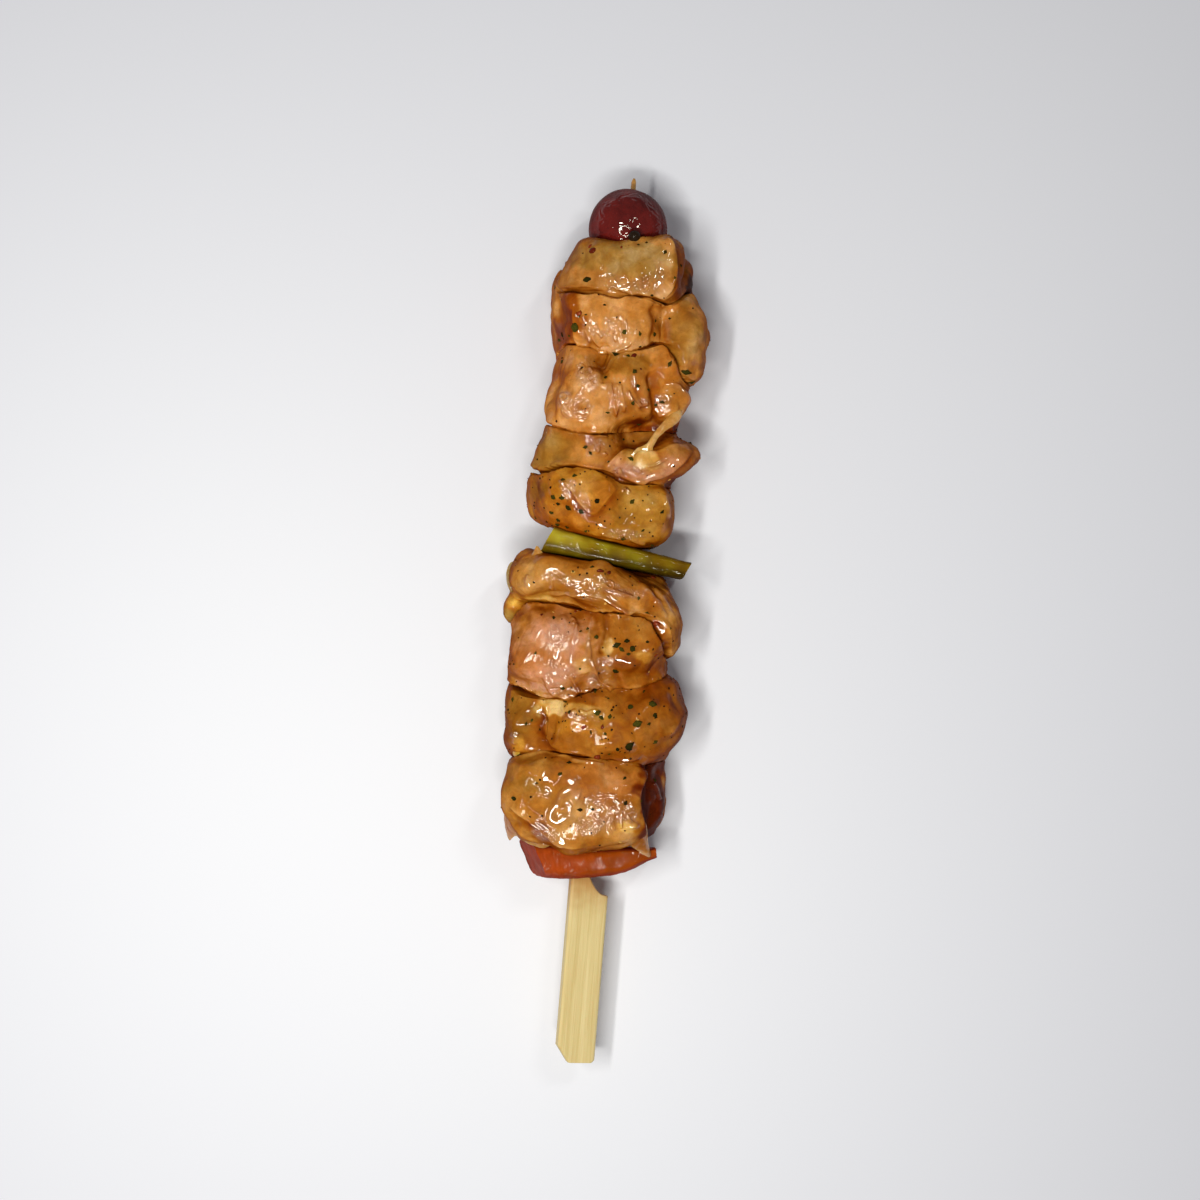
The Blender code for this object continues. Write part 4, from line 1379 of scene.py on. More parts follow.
def meat_finish(sizes):
    """Raw meat under a wet film: colour from the skin's own values, mottled, and glossy."""
    finish = Finish(
        "wet_marinated_meat", Roughness=0.55, IOR=1.38, Specular_IOR_Level=0.05,
        Subsurface_Weight=0.4, Subsurface_Radius=(1.0, 0.4, 0.12),
        Subsurface_Scale=sizes.glow_depth, Coat_Roughness=0.02, Coat_IOR=2.4,
    )
    place = finish.place()
    mottle = finish.between(finish.noise(place, 2.4, 6.0, 0.66, 0.8), 0.35, 0.7)
    tone = finish.mix(mottle, solid(MOTTLE[0]), solid(MOTTLE[1]))
    pale = finish.mix(1.0, finish.attribute("flesh"), tone, "MULTIPLY")
    grain = finish.noise(place, 0.5, 3.0, 0.7)
    darker = finish.between(grain, 0.56, 0.8, 0.0, 0.3)
    wet = finish.between(finish.attribute("wet", "Fac"), 0, 1, 0.03, 1.0)
    broad = finish.bump(finish.crests(place, 3.2, 0.03), 4.2, wet)
    wrinkled = finish.attribute("wrinkled", "Fac")
    finish.surface(
        Base_Color=finish.mix(darker, pale, solid(COLOURS["meat_grain"])),
        Normal=finish.bump(grain, 0.03),
        Coat_Normal=finish.bump(finish.crests(place, 1.2, 0.05), 1.5, wrinkled, broad),
        Coat_Weight=finish.attribute("gloss", "Fac"),
    )
    return finish.material


def upper(points):
    """0 on the flanks that the camera doesn't see, and 1 above them."""
    return smooth_step(*UPPER_LEVELS, points[..., 2])


def under_film(colour, film):
    """A colour seen through a film of marinade: each channel falls off as e^(-k thickness)."""
    return np.array(colour) * np.exp(-film[..., None] * np.array(MARINADE_TAKES))


def drawn_together(grid):
    """The same grid with each end ring drawn together to its middle."""
    grid[0] = grid[0].mean(0)
    grid[-1] = grid[-1].mean(0)
    return grid


def relief(points, plan, look, sizes):
    """How far the skin stands out, its forms' film, its ripples of two sizes, and its shine.

    Cut faces are the difference of two folded noises, which meet in sharp edges. Fibres are
    noise that is stretched along the grain. A ledge stands at full height along its path, falls
    away behind it and drops at once in front of it; its film paints a shadow at its foot and a
    paler light edge on its top. A ridge or a line is a bell e^-(d / w)^2 of the distance d to its
    path; a sunken ridge's film paints shade in the groove. Ripples are finer noise in the wet patches.
    """
    wander = WANDER * noises(points, WANDER_SIZE, WANDER_SEEDS)
    first = np.sqrt(noise(points + wander, FACE_SIZES[0], FACE_SEEDS[0]) ** 2 + FACE_ROUNDING)
    second = np.sqrt(noise(points - wander, FACE_SIZES[1], FACE_SEEDS[1]) ** 2 + FACE_ROUNDING)
    height = sizes.face_depth * (second - first)
    height = height + sizes.lump_depth * noise(points + wander * 0.4, LUMP_SIZE, LUMP_SEED, 2)
    along, across = turned(points[..., 0], points[..., 1], look.grain)
    across = across + 0.5 * wander[..., 0]
    strands = [along / FIBRE_STRETCH, across, points[..., 2] + 0.5 * wander[..., 1]]
    fibres = noise(np.stack(strands, -1), FIBRE_SIZE, FIBRE_SEED, 2)
    fibres = fibres * smooth_step(-0.25, 0.3, noise(points, FIBRE_PATCH_SIZE, FIBRE_PATCH_SEED))
    height = height + sizes.fibre_depth * look.fibre * fibres
    film = FOLD_FILM * np.clip(FOLD_REACH - first, 0, None)
    upward = upper(points)
    shine = np.zeros(points.shape[:-1])
    for form in look.forms:
        reach = 3 * (form.run if isinstance(form, Ledge) else form.width)
        distance, share = path_place(plan, form.path, reach)
        share = share * upward
        if isinstance(form, Ledge):
            step = smooth_step(-LEDGE_STEP, LEDGE_STEP, distance)
            fall = np.exp(-np.maximum(distance, 0) / form.run)
            fall = fall * smooth_step(reach, 0.5 * reach, np.abs(distance))
            height = height + share * form.rise * step * fall
            # Painted shadow: thicker film in a band at the ledge's foot.
            foot_shadow = np.exp(-np.abs(distance + LEDGE_PAINT_WIDTH) / LEDGE_PAINT_WIDTH)
            film = film + share * LEDGE_SHADOW_FILM * foot_shadow * (1 - step)
            # Painted light: thinner film just behind the edge, so it shows paler.
            film = film - share * 0.5 * step * np.exp(-np.maximum(distance, 0) / LEDGE_PAINT_WIDTH)
        else:
            bell = share * np.exp(-((distance / form.width) ** 2))
            height = height + form.rise * bell
            # Painted shade: a sunken ridge takes thicker film and shows darker, where marinade also
            # pools; a raised one takes thinner film and shows paler.
            film = film + bell * (-0.3 if form.rise > 0 else 0.9)
            shine = np.maximum(shine, bell * (form.rise > 0))
    wobble = 1.0 + 0.5 * noise(points, PATCH_WOBBLE_SIZE, PATCH_WOBBLE_SEED)
    wet = np.zeros(points.shape[:-1])
    wrinkled = np.zeros(points.shape[:-1])
    for path in look.lines:
        distance, share = path_place(plan, path, 3 * LINE_WIDTH)
        height = height + LINE_RISE * share * upward * np.exp(-((distance / LINE_WIDTH) ** 2))
        bell = np.exp(-((distance / (LINE_SHINE * LINE_WIDTH)) ** 2))
        shine = np.maximum(shine, share * upward * bell)
    for patch in look.wets:
        share = patch_share(plan, patch, wobble) * upward
        rough = noise(points + wander * 0.3, patch.size, RIPPLE_SEED)
        rough = -np.sqrt(rough**2 + RIPPLE_ROUNDING)
        height = height + sizes.ripple_depth * patch.depth * patch.size * share * rough
        if patch.size < FINE_RIPPLE:
            wrinkled = np.maximum(wrinkled, share)
        else:
            wet = np.maximum(wet, share)
    small = noise(points + wander * 0.3, SMALL_RIPPLE_SIZE, SMALL_RIPPLE_SEED, 2)
    height = height + SMALL_RIPPLE_SHARE * sizes.ripple_depth * small
    return height, film, wet, wrinkled, np.max([shine, wet, wrinkled], axis=0)


def film_gloss(places, normals, wet):
    """How much the film mirrors: most where it stands wet, least on the slopes halfway down."""
    patches = smooth_step(0.1, 0.4, noise(places, PATCH_SIZE, PATCH_SEED, 2))
    patchy = DRY_GLOSS + PATCH_GLOSS * patches
    slope = STEEP_GLOSS + (1 - STEEP_GLOSS) * smooth_step(0.3, 0.75, normals[..., 2])
    slope = np.maximum(slope, FLANK_GLOSS * smooth_step(0.15, -0.1, normals[..., 2]))
    return np.maximum(patchy, wet) * slope


def flesh_colour(places, plan, normals, near, seam, film, look):
    """The flesh's own colour and patches, seen through the marinade that lies on it.

    The film is thick where folds meet and where a noise says so. Where pieces meet, in seams and down
    the flanks it is thickened further as painted shade, over marinade that gathers there too.
    Each millimetre of it takes its share of red, green and blue, so it is tan where thin,
    orange where thicker and brown where deep.
    """
    colour = np.ones(places.shape) * np.array(COLOURS[look.flesh])
    upward = upper(places)
    wobble = 1.0 + 0.9 * noise(places, TINT_WOBBLE_SIZE, TINT_WOBBLE_SEED, 3)
    film = film + look.film
    for tint in look.tints:
        share = patch_share(plan, tint, wobble) * upward
        film = film + tint.film * share
        if tint.colour:
            change = np.array(COLOURS[tint.colour]) - colour
            colour = colour + change * (share * tint.strength)[..., None]
    film = film + FILM_WAVES * noise(places, FILM_WAVE_SIZE, FILM_SEED, 4)
    # Painted shade: thicker film, so darker colour, where the skin turns down the flanks.
    film = film + FLANK_SHADE_FILM * smooth_step(0.85, 0.1, normals[..., 2])
    # Painted shade in the crevices and seams, over marinade that pools there: thicker film near
    # neighbours and where lobes meet.
    meeting = CREVICE_SHADE_FILM * np.exp(-np.maximum(near, 0) / CREVICE_FADE) + SEAM_SHADE_FILM * seam
    film = np.maximum(film + look.crevice * meeting, THINNEST_FILM)
    colour = colour * (1 + TONE_WAVES * noise(places, TONE_WAVE_SIZE, TONE_SEED, 2))[..., None]
    return np.clip(under_film(colour, film), 0, 1)


SKINS = {}


def make_meat(name, material, sizes):
    """One piece of meat: the solid's form, its rim over the next piece, and its relief.

    The rim stands out from the skewer and slides over the neighbour by shares that fall off
    with the distance to that neighbour and with the depth below the skin.
    """
    look, lobes = LOOKS[name], CHICKEN[name]
    places = refine(meat_grid(name, sizes.rings, sizes.around))
    normals = grid_normals(places)
    own, each, joined = fields(places, name)
    near = np.min(list(each.values()), axis=0)
    visible = np.exp(-np.maximum(-joined, 0) / SKIN_DEPTH)
    plan = seen(places)
    height, film, wet, wrinkled, shine = relief(places, plan, look, sizes)
    calm = smooth_step(*CALM_NEAR, near) * smooth_step(*CALM_BELOW, places[..., 2])
    raised = places + normals * (height * calm)[..., None]
    outward = places * (1, 0, 1) - np.array(RIM_CENTRE)
    outward /= np.maximum(np.linalg.norm(outward, axis=-1, keepdims=True), 1e-6)
    over, rise = OVER[name]
    uneven = 1 + 0.5 * noise(places * (1, 0.2, 1), RIM_WAVE_SIZE, RIM_SEED)
    beside = np.maximum(each[over], 0)
    rim = visible * np.exp(-beside / RIM_FADE) * rise * uneven
    rim = rim * smooth_step(*RIM_LEVELS, places[..., 2])
    raised = raised + outward * rim[..., None]
    raised[..., 1] -= RIM_SLIDE * rim * np.exp(-beside / RIM_SLIDE_FADE)
    raised = drawn_together(raised)
    raised[..., 2] = np.maximum(raised[..., 2], 0.0)
    raised[..., 2] -= (1 - SUMMIT_SHARE) * np.maximum(raised[..., 2] - SUMMIT, 0)
    normals = grid_normals(raised)
    # Painted light: thinner film on the rim over the neighbour, so it shows paler.
    film = film - RIM_LIGHT_FILM * rim
    colour = flesh_colour(places, plan, normals, near, seam_nearness(places, lobes), film, look)
    trickle = smooth_step(0.02, 0.25, noise(places * (1, 1, 0.5), PATCH_SIZE, TRICKLE_SEED, 2))
    trickle = TRICKLE_GLOSS * trickle * smooth_step(0.25, 0.0, normals[..., 2])
    wet = np.maximum(wet, trickle)
    gloss = film_gloss(places, normals, np.maximum(shine, trickle))
    vertices, quads, triangles = grid_shape(raised)
    SKINS[name] = (vertices, grid_values(normals), grid_values(near))
    return new_piece(
        name + "_meat", vertices, quads, triangles, material, [name],
        {
            "flesh": grid_values(colour), "wet": grid_values(wet),
            "wrinkled": grid_values(wrinkled), "gloss": grid_values(gloss),
        },
    )


def place_at(points):
    """Places that show at pixels of the photograph, each with its height in millimetres."""
    points = np.array(points, float)
    centre = np.array(PHOTO_MIDDLE)
    plan = centre + (on_photo(points[:, :2]) - centre) / enlarged(points[:, 2:])
    return np.concatenate([plan, points[:, 2:]], 1)


def closed_ends(grid):
    """A grid of rings with one more ring at each end, shrunk to the end ring's middle."""
    return drawn_together(np.concatenate([grid[:1], grid, grid[-1:]]))


def make_flap(name, flap, material):
    """A thin skin: a flattened loop round the line from the inner to the outer path.

    Both paths are smoothed, and the loop grows from nothing at each end of them.
    """
    inner = smooth_path(place_at(flap.inner), FLAP_STATIONS)[:, None]
    outer = smooth_path(place_at(flap.outer), FLAP_STATIONS)[:, None]
    angle = np.linspace(0, 2 * math.pi, FLAP_AROUND, endpoint=False)[None, :, None]
    share = (1 - np.cos(angle)) / 2
    ahead = np.gradient((inner + outer)[:, 0] / 2, axis=0)[:, None]
    up = np.cross(ahead, outer - inner)
    up /= np.linalg.norm(up, axis=-1, keepdims=True)
    up = up * np.where(up[..., 2:] < 0, -1, 1)
    end = np.sin(np.linspace(0, math.pi, FLAP_STATIONS))[:, None, None] ** 0.4
    thick = flap.thickness[0] + (flap.thickness[1] - flap.thickness[0]) * share
    grid = inner + (outer - inner) * share * (0.3 + 0.7 * end)
    grid = grid + up * (FLAP_BULGE * np.sin(share * math.pi) + thick / 2 * np.sin(angle) * end)
    grid = grid + FLAP_CRUMPLE * noises(grid, FLAP_CRUMPLE_SIZE, FLAP_SEEDS)
    film = flap.film * (1.3 - share[..., 0]) + FLAP_FILM.at(grid)
    colour = under_film(COLOURS[flap.colour], np.maximum(film, 0))
    colour = np.concatenate([colour[:1], colour, colour[-1:]])
    return meat_scrap(name, closed_ends(grid), colour, FLAP_GLOSS, FLAP_GLOSS, material)


def meat_scrap(name, grid, colour, wet, gloss, material):
    """A small piece of the meat's own material, evenly wet and glossy."""
    vertices, quads, triangles = outward_shape(grid)
    values = {
        "flesh": grid_values(colour), "wet": np.full(len(vertices), wet),
        "gloss": np.full(len(vertices), gloss),
    }
    return new_piece(name, vertices, quads, triangles, material, values=values)


def outward_shape(grid):
    """A closed grid's shape, turned round if its faces point inwards, by its signed volume."""
    vertices, quads, triangles = grid_shape(grid)
    a, b, c, d = (vertices[quads[:, k]] for k in range(4))
    middle = vertices.mean(0)
    volume = (np.cross(c - a, d - b) * ((a + c) / 2 - middle)).sum()
    if volume < 0:
        quads, triangles = quads[:, ::-1], triangles[:, ::-1]
    return vertices, quads, triangles


def patchy_gloss(places):
    """Gloss of a cut or wiped skin: where a noise says so, and weak where it is steep."""
    patches = smooth_step(0.0, 0.35, CUT_PATCHES.at(places))
    share = STEEP_GLOSS + (1 - STEEP_GLOSS) * patches
    return grid_values(share) * slope_gloss(grid_normals(places))


def slope_gloss(normals):
    """Gloss of a smooth skin, in the order of grid_shape's vertices: weak where it is steep."""
    level = smooth_step(0.45, 0.9, normals[..., 2])
    return grid_values(SMOOTH_STEEP_GLOSS + (1 - SMOOTH_STEEP_GLOSS) * level)


def grape_finish(pale):
    """Dark red skin with a faint bloom in soft patches, glowing a little at its edge."""
    finish = Finish(
        "grape_skin", Roughness=0.6, IOR=1.4, Specular_IOR_Level=0.04, Subsurface_Weight=0.2,
        Subsurface_Radius=(1.0, 0.2, 0.12), Subsurface_Scale=0.004,
        Coat_Roughness=0.03, Coat_IOR=1.6,
    )
    place = finish.place()
    cloud = finish.between(finish.noise(place, 7.0, 4.0, 0.6, 0.5), 0.35, 0.7)
    finish.surface(
        Base_Color=finish.mix(cloud, solid(COLOURS["grape_dark"]), solid(pale)),
        Coat_Normal=finish.bump(finish.crests(place, 3.0, 0.05), 0.8),
        Coat_Weight=finish.attribute("gloss", "Fac"),
    )
    return finish.material


def make_grape(sizes):
    """A ball with slight swells, dimpled where the skewer comes out of it."""
    rays = ray_grid(sizes.rings, sizes.around)
    places = outermost(middle_of(GRAPE), rays, lambda p: lump_distance(p, GRAPE))
    shaft = np.hypot(places[..., 0], places[..., 2] - SHAFT_HEIGHT)
    dimple = -DIMPLE_DEPTH * np.exp(-((shaft / DIMPLE_WIDTH) ** 2))
    dimple = dimple * (places[..., 1] > GRAPE[0].at[1])
    height = GRAPE_SWELL.at(places) + dimple
    raised = drawn_together(places + grid_normals(places) * height[..., None])
    vertices, quads, triangles = grid_shape(raised)
    material = grape_finish(sizes.grape_colour)
    return new_piece(
        "grape", vertices, quads, triangles, material, ["red_grape"],
        {"gloss": slope_gloss(grid_normals(raised))},
    )


def signed_power(value, power):
    """A number's size raised to a power, with the number's sign."""
    return np.sign(value) * np.abs(value) ** power


def strip_grid(strip):
    """A rounded section carried along the strip's middle line, closing to a point at each end.

    The section is a squared ellipse in thickness and height. At the two ends it shrinks flat
    to the middle and bulges by a share of the corner's radius.
    """
    cap = np.linspace(0, 1, CAP_RINGS)
    shrink = np.concatenate([np.zeros(1), cap[1:-1], np.ones(1)])
    middle = np.linspace(0, 1, STRIP_STATIONS)
    along = np.concatenate([np.zeros(CAP_RINGS), middle[1:-1], np.ones(CAP_RINGS)])
    scale = np.concatenate([shrink, np.ones(STRIP_STATIONS - 2), shrink[::-1]])
    angle = -np.linspace(0, 2 * math.pi, STRIP_AROUND, endpoint=False)
    x = (strip.left + (strip.right - strip.left) * along)[:, None] * np.ones(STRIP_AROUND)
    side = np.sign(along - 0.5)[:, None]
    x = x - side * np.where(scale < 1, strip.corner * CAP_BULGE * scale**8, 0)[:, None]
    half = strip.between(strip.half_thickness, x)
    half = half * (1 - strip.taper * smooth_step(0.7, 1.0, along)[:, None])
    high, low = strip.between(strip.high, x), strip.between(strip.low, x)
    power = 2 / strip.square
    across = half * signed_power(np.cos(angle), power) * scale[:, None]
    z = (high + low) / 2 + (high - low) / 2 * signed_power(np.sin(angle), power) * scale[:, None]
    heading = strip.heading(x)
    length = np.hypot(1, heading)
    rise = strip.rise * smooth_step(0.6, 1.0, along)[:, None]
    return np.stack([
        x - heading / length * across + strip.between(strip.skew, x) * across - strip.reach_out(x, z),
        strip.middle(x) + across / length + rise - strip.lean * (high - z),
        z,
    ], -1)


def pepper_finish(name, light, dots):
    """Wet pepper flesh: its own colour with fine pale specks, under a film that glints in dots."""
    finish = Finish(
        name, Roughness=0.6, IOR=1.4, Specular_IOR_Level=0.04, Subsurface_Weight=0.3,
        Subsurface_Radius=(1.0, 0.6, 0.2), Subsurface_Scale=0.0025,
        Coat_Roughness=0.04, Coat_IOR=1.6,
    )
    place = finish.place()
    speck = finish.noise(place, 0.9, 3.0, 0.7)
    paler = finish.between(speck, 0.6, 0.78, 0.0, 0.35)
    finish.surface(
        Base_Color=finish.mix(paler, finish.attribute("flesh"), solid(COLOURS[light])),
        Normal=finish.bump(speck, 0.03),
        Coat_Normal=finish.bump(finish.crests(place, 1.6, 0.05), dots),
        Coat_Weight=finish.attribute("gloss", "Fac"),
    )
    return finish.material


def new_strip(name, raised, colour, material):
    """A strip of pepper from its grid and its colours."""
    vertices, quads, triangles = grid_shape(raised)
    return new_piece(
        name + "_strip", vertices, quads, triangles, material, [name],
        {"flesh": grid_values(np.clip(colour, 0, 1)), "gloss": patchy_gloss(raised)},
    )


def make_green_pepper():
    """The green strip: its section carried across the skewer, with a ridge along its top."""
    places = strip_grid(GREEN_PEPPER)
    height = GREEN_SWELL.at(places) + GREEN_STREAKS.at(places * (0.2, 1, 1))
    raised = drawn_together(places + grid_normals(places) * height[..., None])
    x, y = raised[..., 0], raised[..., 1]
    share = smooth_step(GREEN_PEPPER.left, GREEN_PEPPER.right, x)
    side = smooth_step(0.2, -0.5, (y - GREEN_PEPPER.middle(x)) / 3.0)
    light, olive, deep = (np.array(COLOURS["green_" + key]) for key in ("light", "olive", "deep"))
    colour = light + (olive - light) * smooth_step(0.0, 0.35, share)[..., None]
    colour = colour + (deep - colour) * (0.75 * side + 0.25 * share * side)[..., None]
    colour = colour * (1 + GREEN_TONES.at(raised))[..., None]
    sauce = np.clip(0.35 + GREEN_SAUCE.at(raised) + 0.9 * share + 0.6 * side, 0, None)
    material = pepper_finish("wet_green_pepper", "green_speck", 0.25)
    return new_strip("green_pepper", raised, under_film(colour, sauce), material)


def make_red_pepper():
    """The red strip: cut flesh above with streaks across it, and skin on its outer side."""
    places = strip_grid(RED_PEPPER)
    normals = grid_normals(places)
    streaks = RED_STREAKS.at(places * (1, 0.25, 0.25)) * smooth_step(4, -12, places[..., 0])
    height = RED_SWELL.at(places) + RED_STREAK_DEPTH * streaks * np.clip(normals[..., 2], 0, 1)
    height = height + RED_DIMPLES.at(places)
    raised = drawn_together(places + normals * height[..., None])
    flesh, orange, skin = (np.array(COLOURS["red_" + key]) for key in ("flesh", "orange", "skin"))
    rise = smooth_step(0.35, 0.85, normals[..., 2])[..., None]
    blush = smooth_step(-4, 8, raised[..., 0])[..., None]
    colour = skin + (flesh + (orange - flesh) * blush - skin) * rise
    colour = colour * (1 + RED_TONES.at(raised) + RED_STREAK_TONE * streaks)[..., None]
    material = pepper_finish("wet_red_pepper", "red_speck", 1.0)
    return new_strip("red_pepper", raised, colour, material)


def bamboo_finish(pale):
    """Pale split bamboo: long fibres of two tones along it, with darker lines among them."""
    finish = Finish(
        "split_bamboo", Roughness=0.52, IOR=1.45, Subsurface_Weight=0.08, Subsurface_Scale=0.002,
    )
    broad = finish.noise(finish.place((1, 0.03, 1)), 1.3, 4.0, 0.6)
    fine = finish.noise(finish.place((1, 0.012, 1)), 0.28, 3.0, 0.7)
    dark, line, soaked = (solid(COLOURS["bamboo_" + key]) for key in ("dark", "line", "soaked"))
    tone = finish.mix(finish.between(broad, 0.3, 0.7), dark, solid(pale))
    lined = finish.mix(finish.between(fine, 0.5, 0.72, 0.0, 0.5), tone, line)
    finish.surface(
        Base_Color=finish.mix(finish.attribute("soaked", "Fac"), lined, soaked),
        Normal=finish.bump(fine, 0.07, 1.0, finish.bump(broad, 0.05)),
    )
    return finish.material


def skewer_outline(y):
    """Left edge, right edge and half thickness of the skewer at each y along it."""
    end, point = -SKEWER_LENGTH / 2, SKEWER_LENGTH / 2
    left, slim = -SHAFT_WIDTH / 2, SHAFT_WIDTH / 2
    right = left + HANDLE_WIDTH
    top = end + HANDLE_LENGTH
    climb = np.clip((y - top) / SHOULDER_LENGTH, 0, 1)
    sine = np.sqrt(1 - (1 - climb) ** 2)
    edge = slim + (right - slim) * (1 - sine)
    corner = np.clip((y - end) / END_BEVEL_RIGHT, 0, 1)
    edge = edge - END_BEVEL_RIGHT * (1 - corner)
    cut = np.clip((y - end) / (1.4 * END_BEVEL_LEFT), 0, 1)
    start = left + END_BEVEL_LEFT * (1 - cut)
    taper = np.clip((point - y) / TIP_TAPER, 0, 1)
    tip = TIP_WIDTH / 2 + (slim - TIP_WIDTH / 2) * taper
    final = np.sqrt(np.clip((point - y) / TIP_WIDTH, 0, 1))
    tip = tip * (0.35 + 0.65 * final)
    low = np.where(taper < 1, -tip, start)
    high = np.where(taper < 1, tip, edge)
    thick = np.where(taper < 1, tip, HANDLE_THICKNESS / 2)
    return low, high, thick


def make_skewer(sizes):
    """A rounded rectangle carried along the skewer and rolled round it, grooved by its fibres."""
    end, point = -SKEWER_LENGTH / 2, SKEWER_LENGTH / 2
    shoulder = end + HANDLE_LENGTH
    stops = (
        end, end + BEVEL_STRETCH, shoulder, shoulder + SHOULDER_LENGTH, point - TIP_TAPER, point,
    )
    counts = (BEVEL_RINGS, HANDLE_RINGS, SHAFT_RINGS, SHAFT_RINGS, TIP_RINGS)
    y = np.unique(np.concatenate([
        np.linspace(first, last, count)
        for first, last, count in zip(stops[:-1], stops[1:], counts)
    ]))
    low, high, thick = skewer_outline(y)
    angle = np.linspace(0, 2 * math.pi, SKEWER_AROUND, endpoint=False) + math.pi / SKEWER_AROUND
    tangent = np.maximum(np.abs(np.cos(angle)), np.abs(np.sin(angle)))
    half, thick = (high - low)[:, None] / 2, thick[:, None]
    across, up = np.cos(angle) / tangent * half, np.sin(angle) / tangent * thick
    bevel = np.minimum(EDGE_BEVEL, 0.35 * thick)
    excess = np.clip(bevel - (half - np.abs(across)) - (thick - np.abs(up)), 0, None) / 2
    x = (high + low)[:, None] / 2 + across - np.sign(across) * excess
    up = up - np.sign(up) * excess
    y = y[:, None] * np.ones(SKEWER_AROUND)
    fibre = FIBRE_WAVES.at(np.stack([x, y, up], -1) * (1, 0.02, 1))
    up = up + np.sign(up) * FIBRE_GROOVE * fibre
    rolled, raised = turned(x, up, SKEWER_ROLL)
    grid = closed_ends(np.stack([rolled, y, raised + SHAFT_HEIGHT], -1))
    soaked = SOAKED_SHARE * smooth_step(*SOAKED_LEVELS, grid[..., 1] + SOAKED_EDGE.at(grid))
    vertices, quads, triangles = grid_shape(grid)
    material = bamboo_finish(sizes.bamboo_colour)
    return new_piece(
        "skewer_stick", vertices, quads, triangles, material, ["skewer"],
        {"soaked": grid_values(soaked)},
    )


def tube_grid(path, wide, thick, around):
    """Flattened circles of the given half widths across a path, closed to a point at each end."""
    ahead = np.gradient(path, axis=0)
    ahead /= np.linalg.norm(ahead, axis=1, keepdims=True)
    side = np.cross(ahead, (0, 0, 1.0))
    side /= np.linalg.norm(side, axis=1, keepdims=True)
    up = np.cross(side, ahead)
    angle = np.linspace(0, 2 * math.pi, around, endpoint=False)[None, :, None]
    grid = path[:, None] + side[:, None] * np.cos(angle) * wide[:, None, None]
    grid = grid + up[:, None] * np.sin(angle) * thick[:, None, None]
    return closed_ends(grid)


def make_strand(material):
    """The tendon: a flat band along its curve, slim in the middle and spread at both ends."""
    path = smooth_path(place_at(STRAND_PATH), STRAND_STATIONS)
    share = np.linspace(0, 1, len(path))
    steps = np.linspace(0, 1, len(STRAND_WIDTHS))
    wide = np.interp(share, steps, STRAND_WIDTHS)
    thick = np.interp(share, steps, STRAND_THICKNESSES)
    grid = tube_grid(path, wide, thick, STRAND_AROUND)
    grid = drawn_together(grid + STRAND_CRUMPLE * noises(grid, STRAND_CRUMPLE_SIZE, STRAND_SEEDS))
    film = STRAND_LEAST_FILM + STRAND_FILM.at(grid)
    colour = np.clip(under_film(COLOURS["tendon"], film), 0, 1)
    return meat_scrap("tendon_strand", grid, colour, STRAND_WET, STRAND_GLOSS, material)


def blob_shape():
    """A ball of 26 corners: rings of 8 at three heights and two ends."""
    angle = np.linspace(0, 2 * math.pi, GRAIN_AROUND, endpoint=False)
    rings = np.stack([
        np.stack([r * np.cos(angle), r * np.sin(angle), np.full(GRAIN_AROUND, z)], -1)
        for r, z in GRAIN_ROWS
    ])
    ends = np.array([[[0, 0, 1.0]] * GRAIN_AROUND, [[0, 0, -1.0]] * GRAIN_AROUND])
    return grid_shape(np.concatenate([ends[:1], rings, ends[1:]]))


def leaf_shape():
    """A small curled leaf of 32 corners: a pointed oval, thin, and bent down its length."""
    along = np.linspace(-1, 1, LEAF_STATIONS)
    inner = along[1:-1]
    oval = np.sqrt(1 - inner**2) * (0.9 + 0.2 * np.cos(5 * inner))
    width = np.concatenate([[0.0], oval, [0.0]])[:, None]
    turn = math.pi / 6 - np.linspace(0, 2 * math.pi, LEAF_AROUND, endpoint=False)
    x = along[:, None] * np.ones(LEAF_AROUND)
    y = width * np.cos(turn)
    z = 0.12 * width * np.sin(turn) + 0.25 * y**2 - 0.12 * x**2
    return grid_shape(np.stack([x, y, z], -1))


def skin_points():
    """Every corner of the meat's skins, its normal, its clearance, and its piece's number."""
    rows = [
        (places, normals, clear, np.full(len(places), number))
        for number, (places, normals, clear) in enumerate(SKINS.values())
    ]
    return tuple(np.concatenate(column) for column in zip(*rows))


def random_spots(draw, count, weights):
    """Seeded corners of the upper skins, clear of the crevices, more of them where weights say."""
    places, normals, clear, piece = skin_points()
    weight = np.array([weights(name) for name in SKINS])[piece]
    weight = weight * (clear > LEAST_CLEARANCE) * (places[:, 2] > LEAST_HEIGHT)
    weight = weight * smooth_step(-0.6, 0.6, normals[:, 2])
    chosen = draw.choice(len(places), count, p=weight / weight.sum())
    side = np.cross(normals[chosen], draw.normal(size=(count, 3)))
    return places[chosen], normals[chosen], side


def chosen_spots(rows):
    """The highest skin that shows at each row's pixel, and the row's turn laid on it."""
    places, normals = skin_points()[:2]
    plan = seen(places)
    found = []
    for x, y, _, _ in rows:
        miss = np.linalg.norm(plan - on_photo((x, y)), axis=1)
        found.append(np.argmax(places[:, 2] - SPOT_MISS_COST * miss))
    turn = np.radians([row[3] + PHOTO_TURN for row in rows])
    ahead = np.stack([np.cos(turn), np.sin(turn), np.zeros(len(turn))], -1)
    return places[found], normals[found], np.cross(np.cross(normals[found], ahead), normals[found])


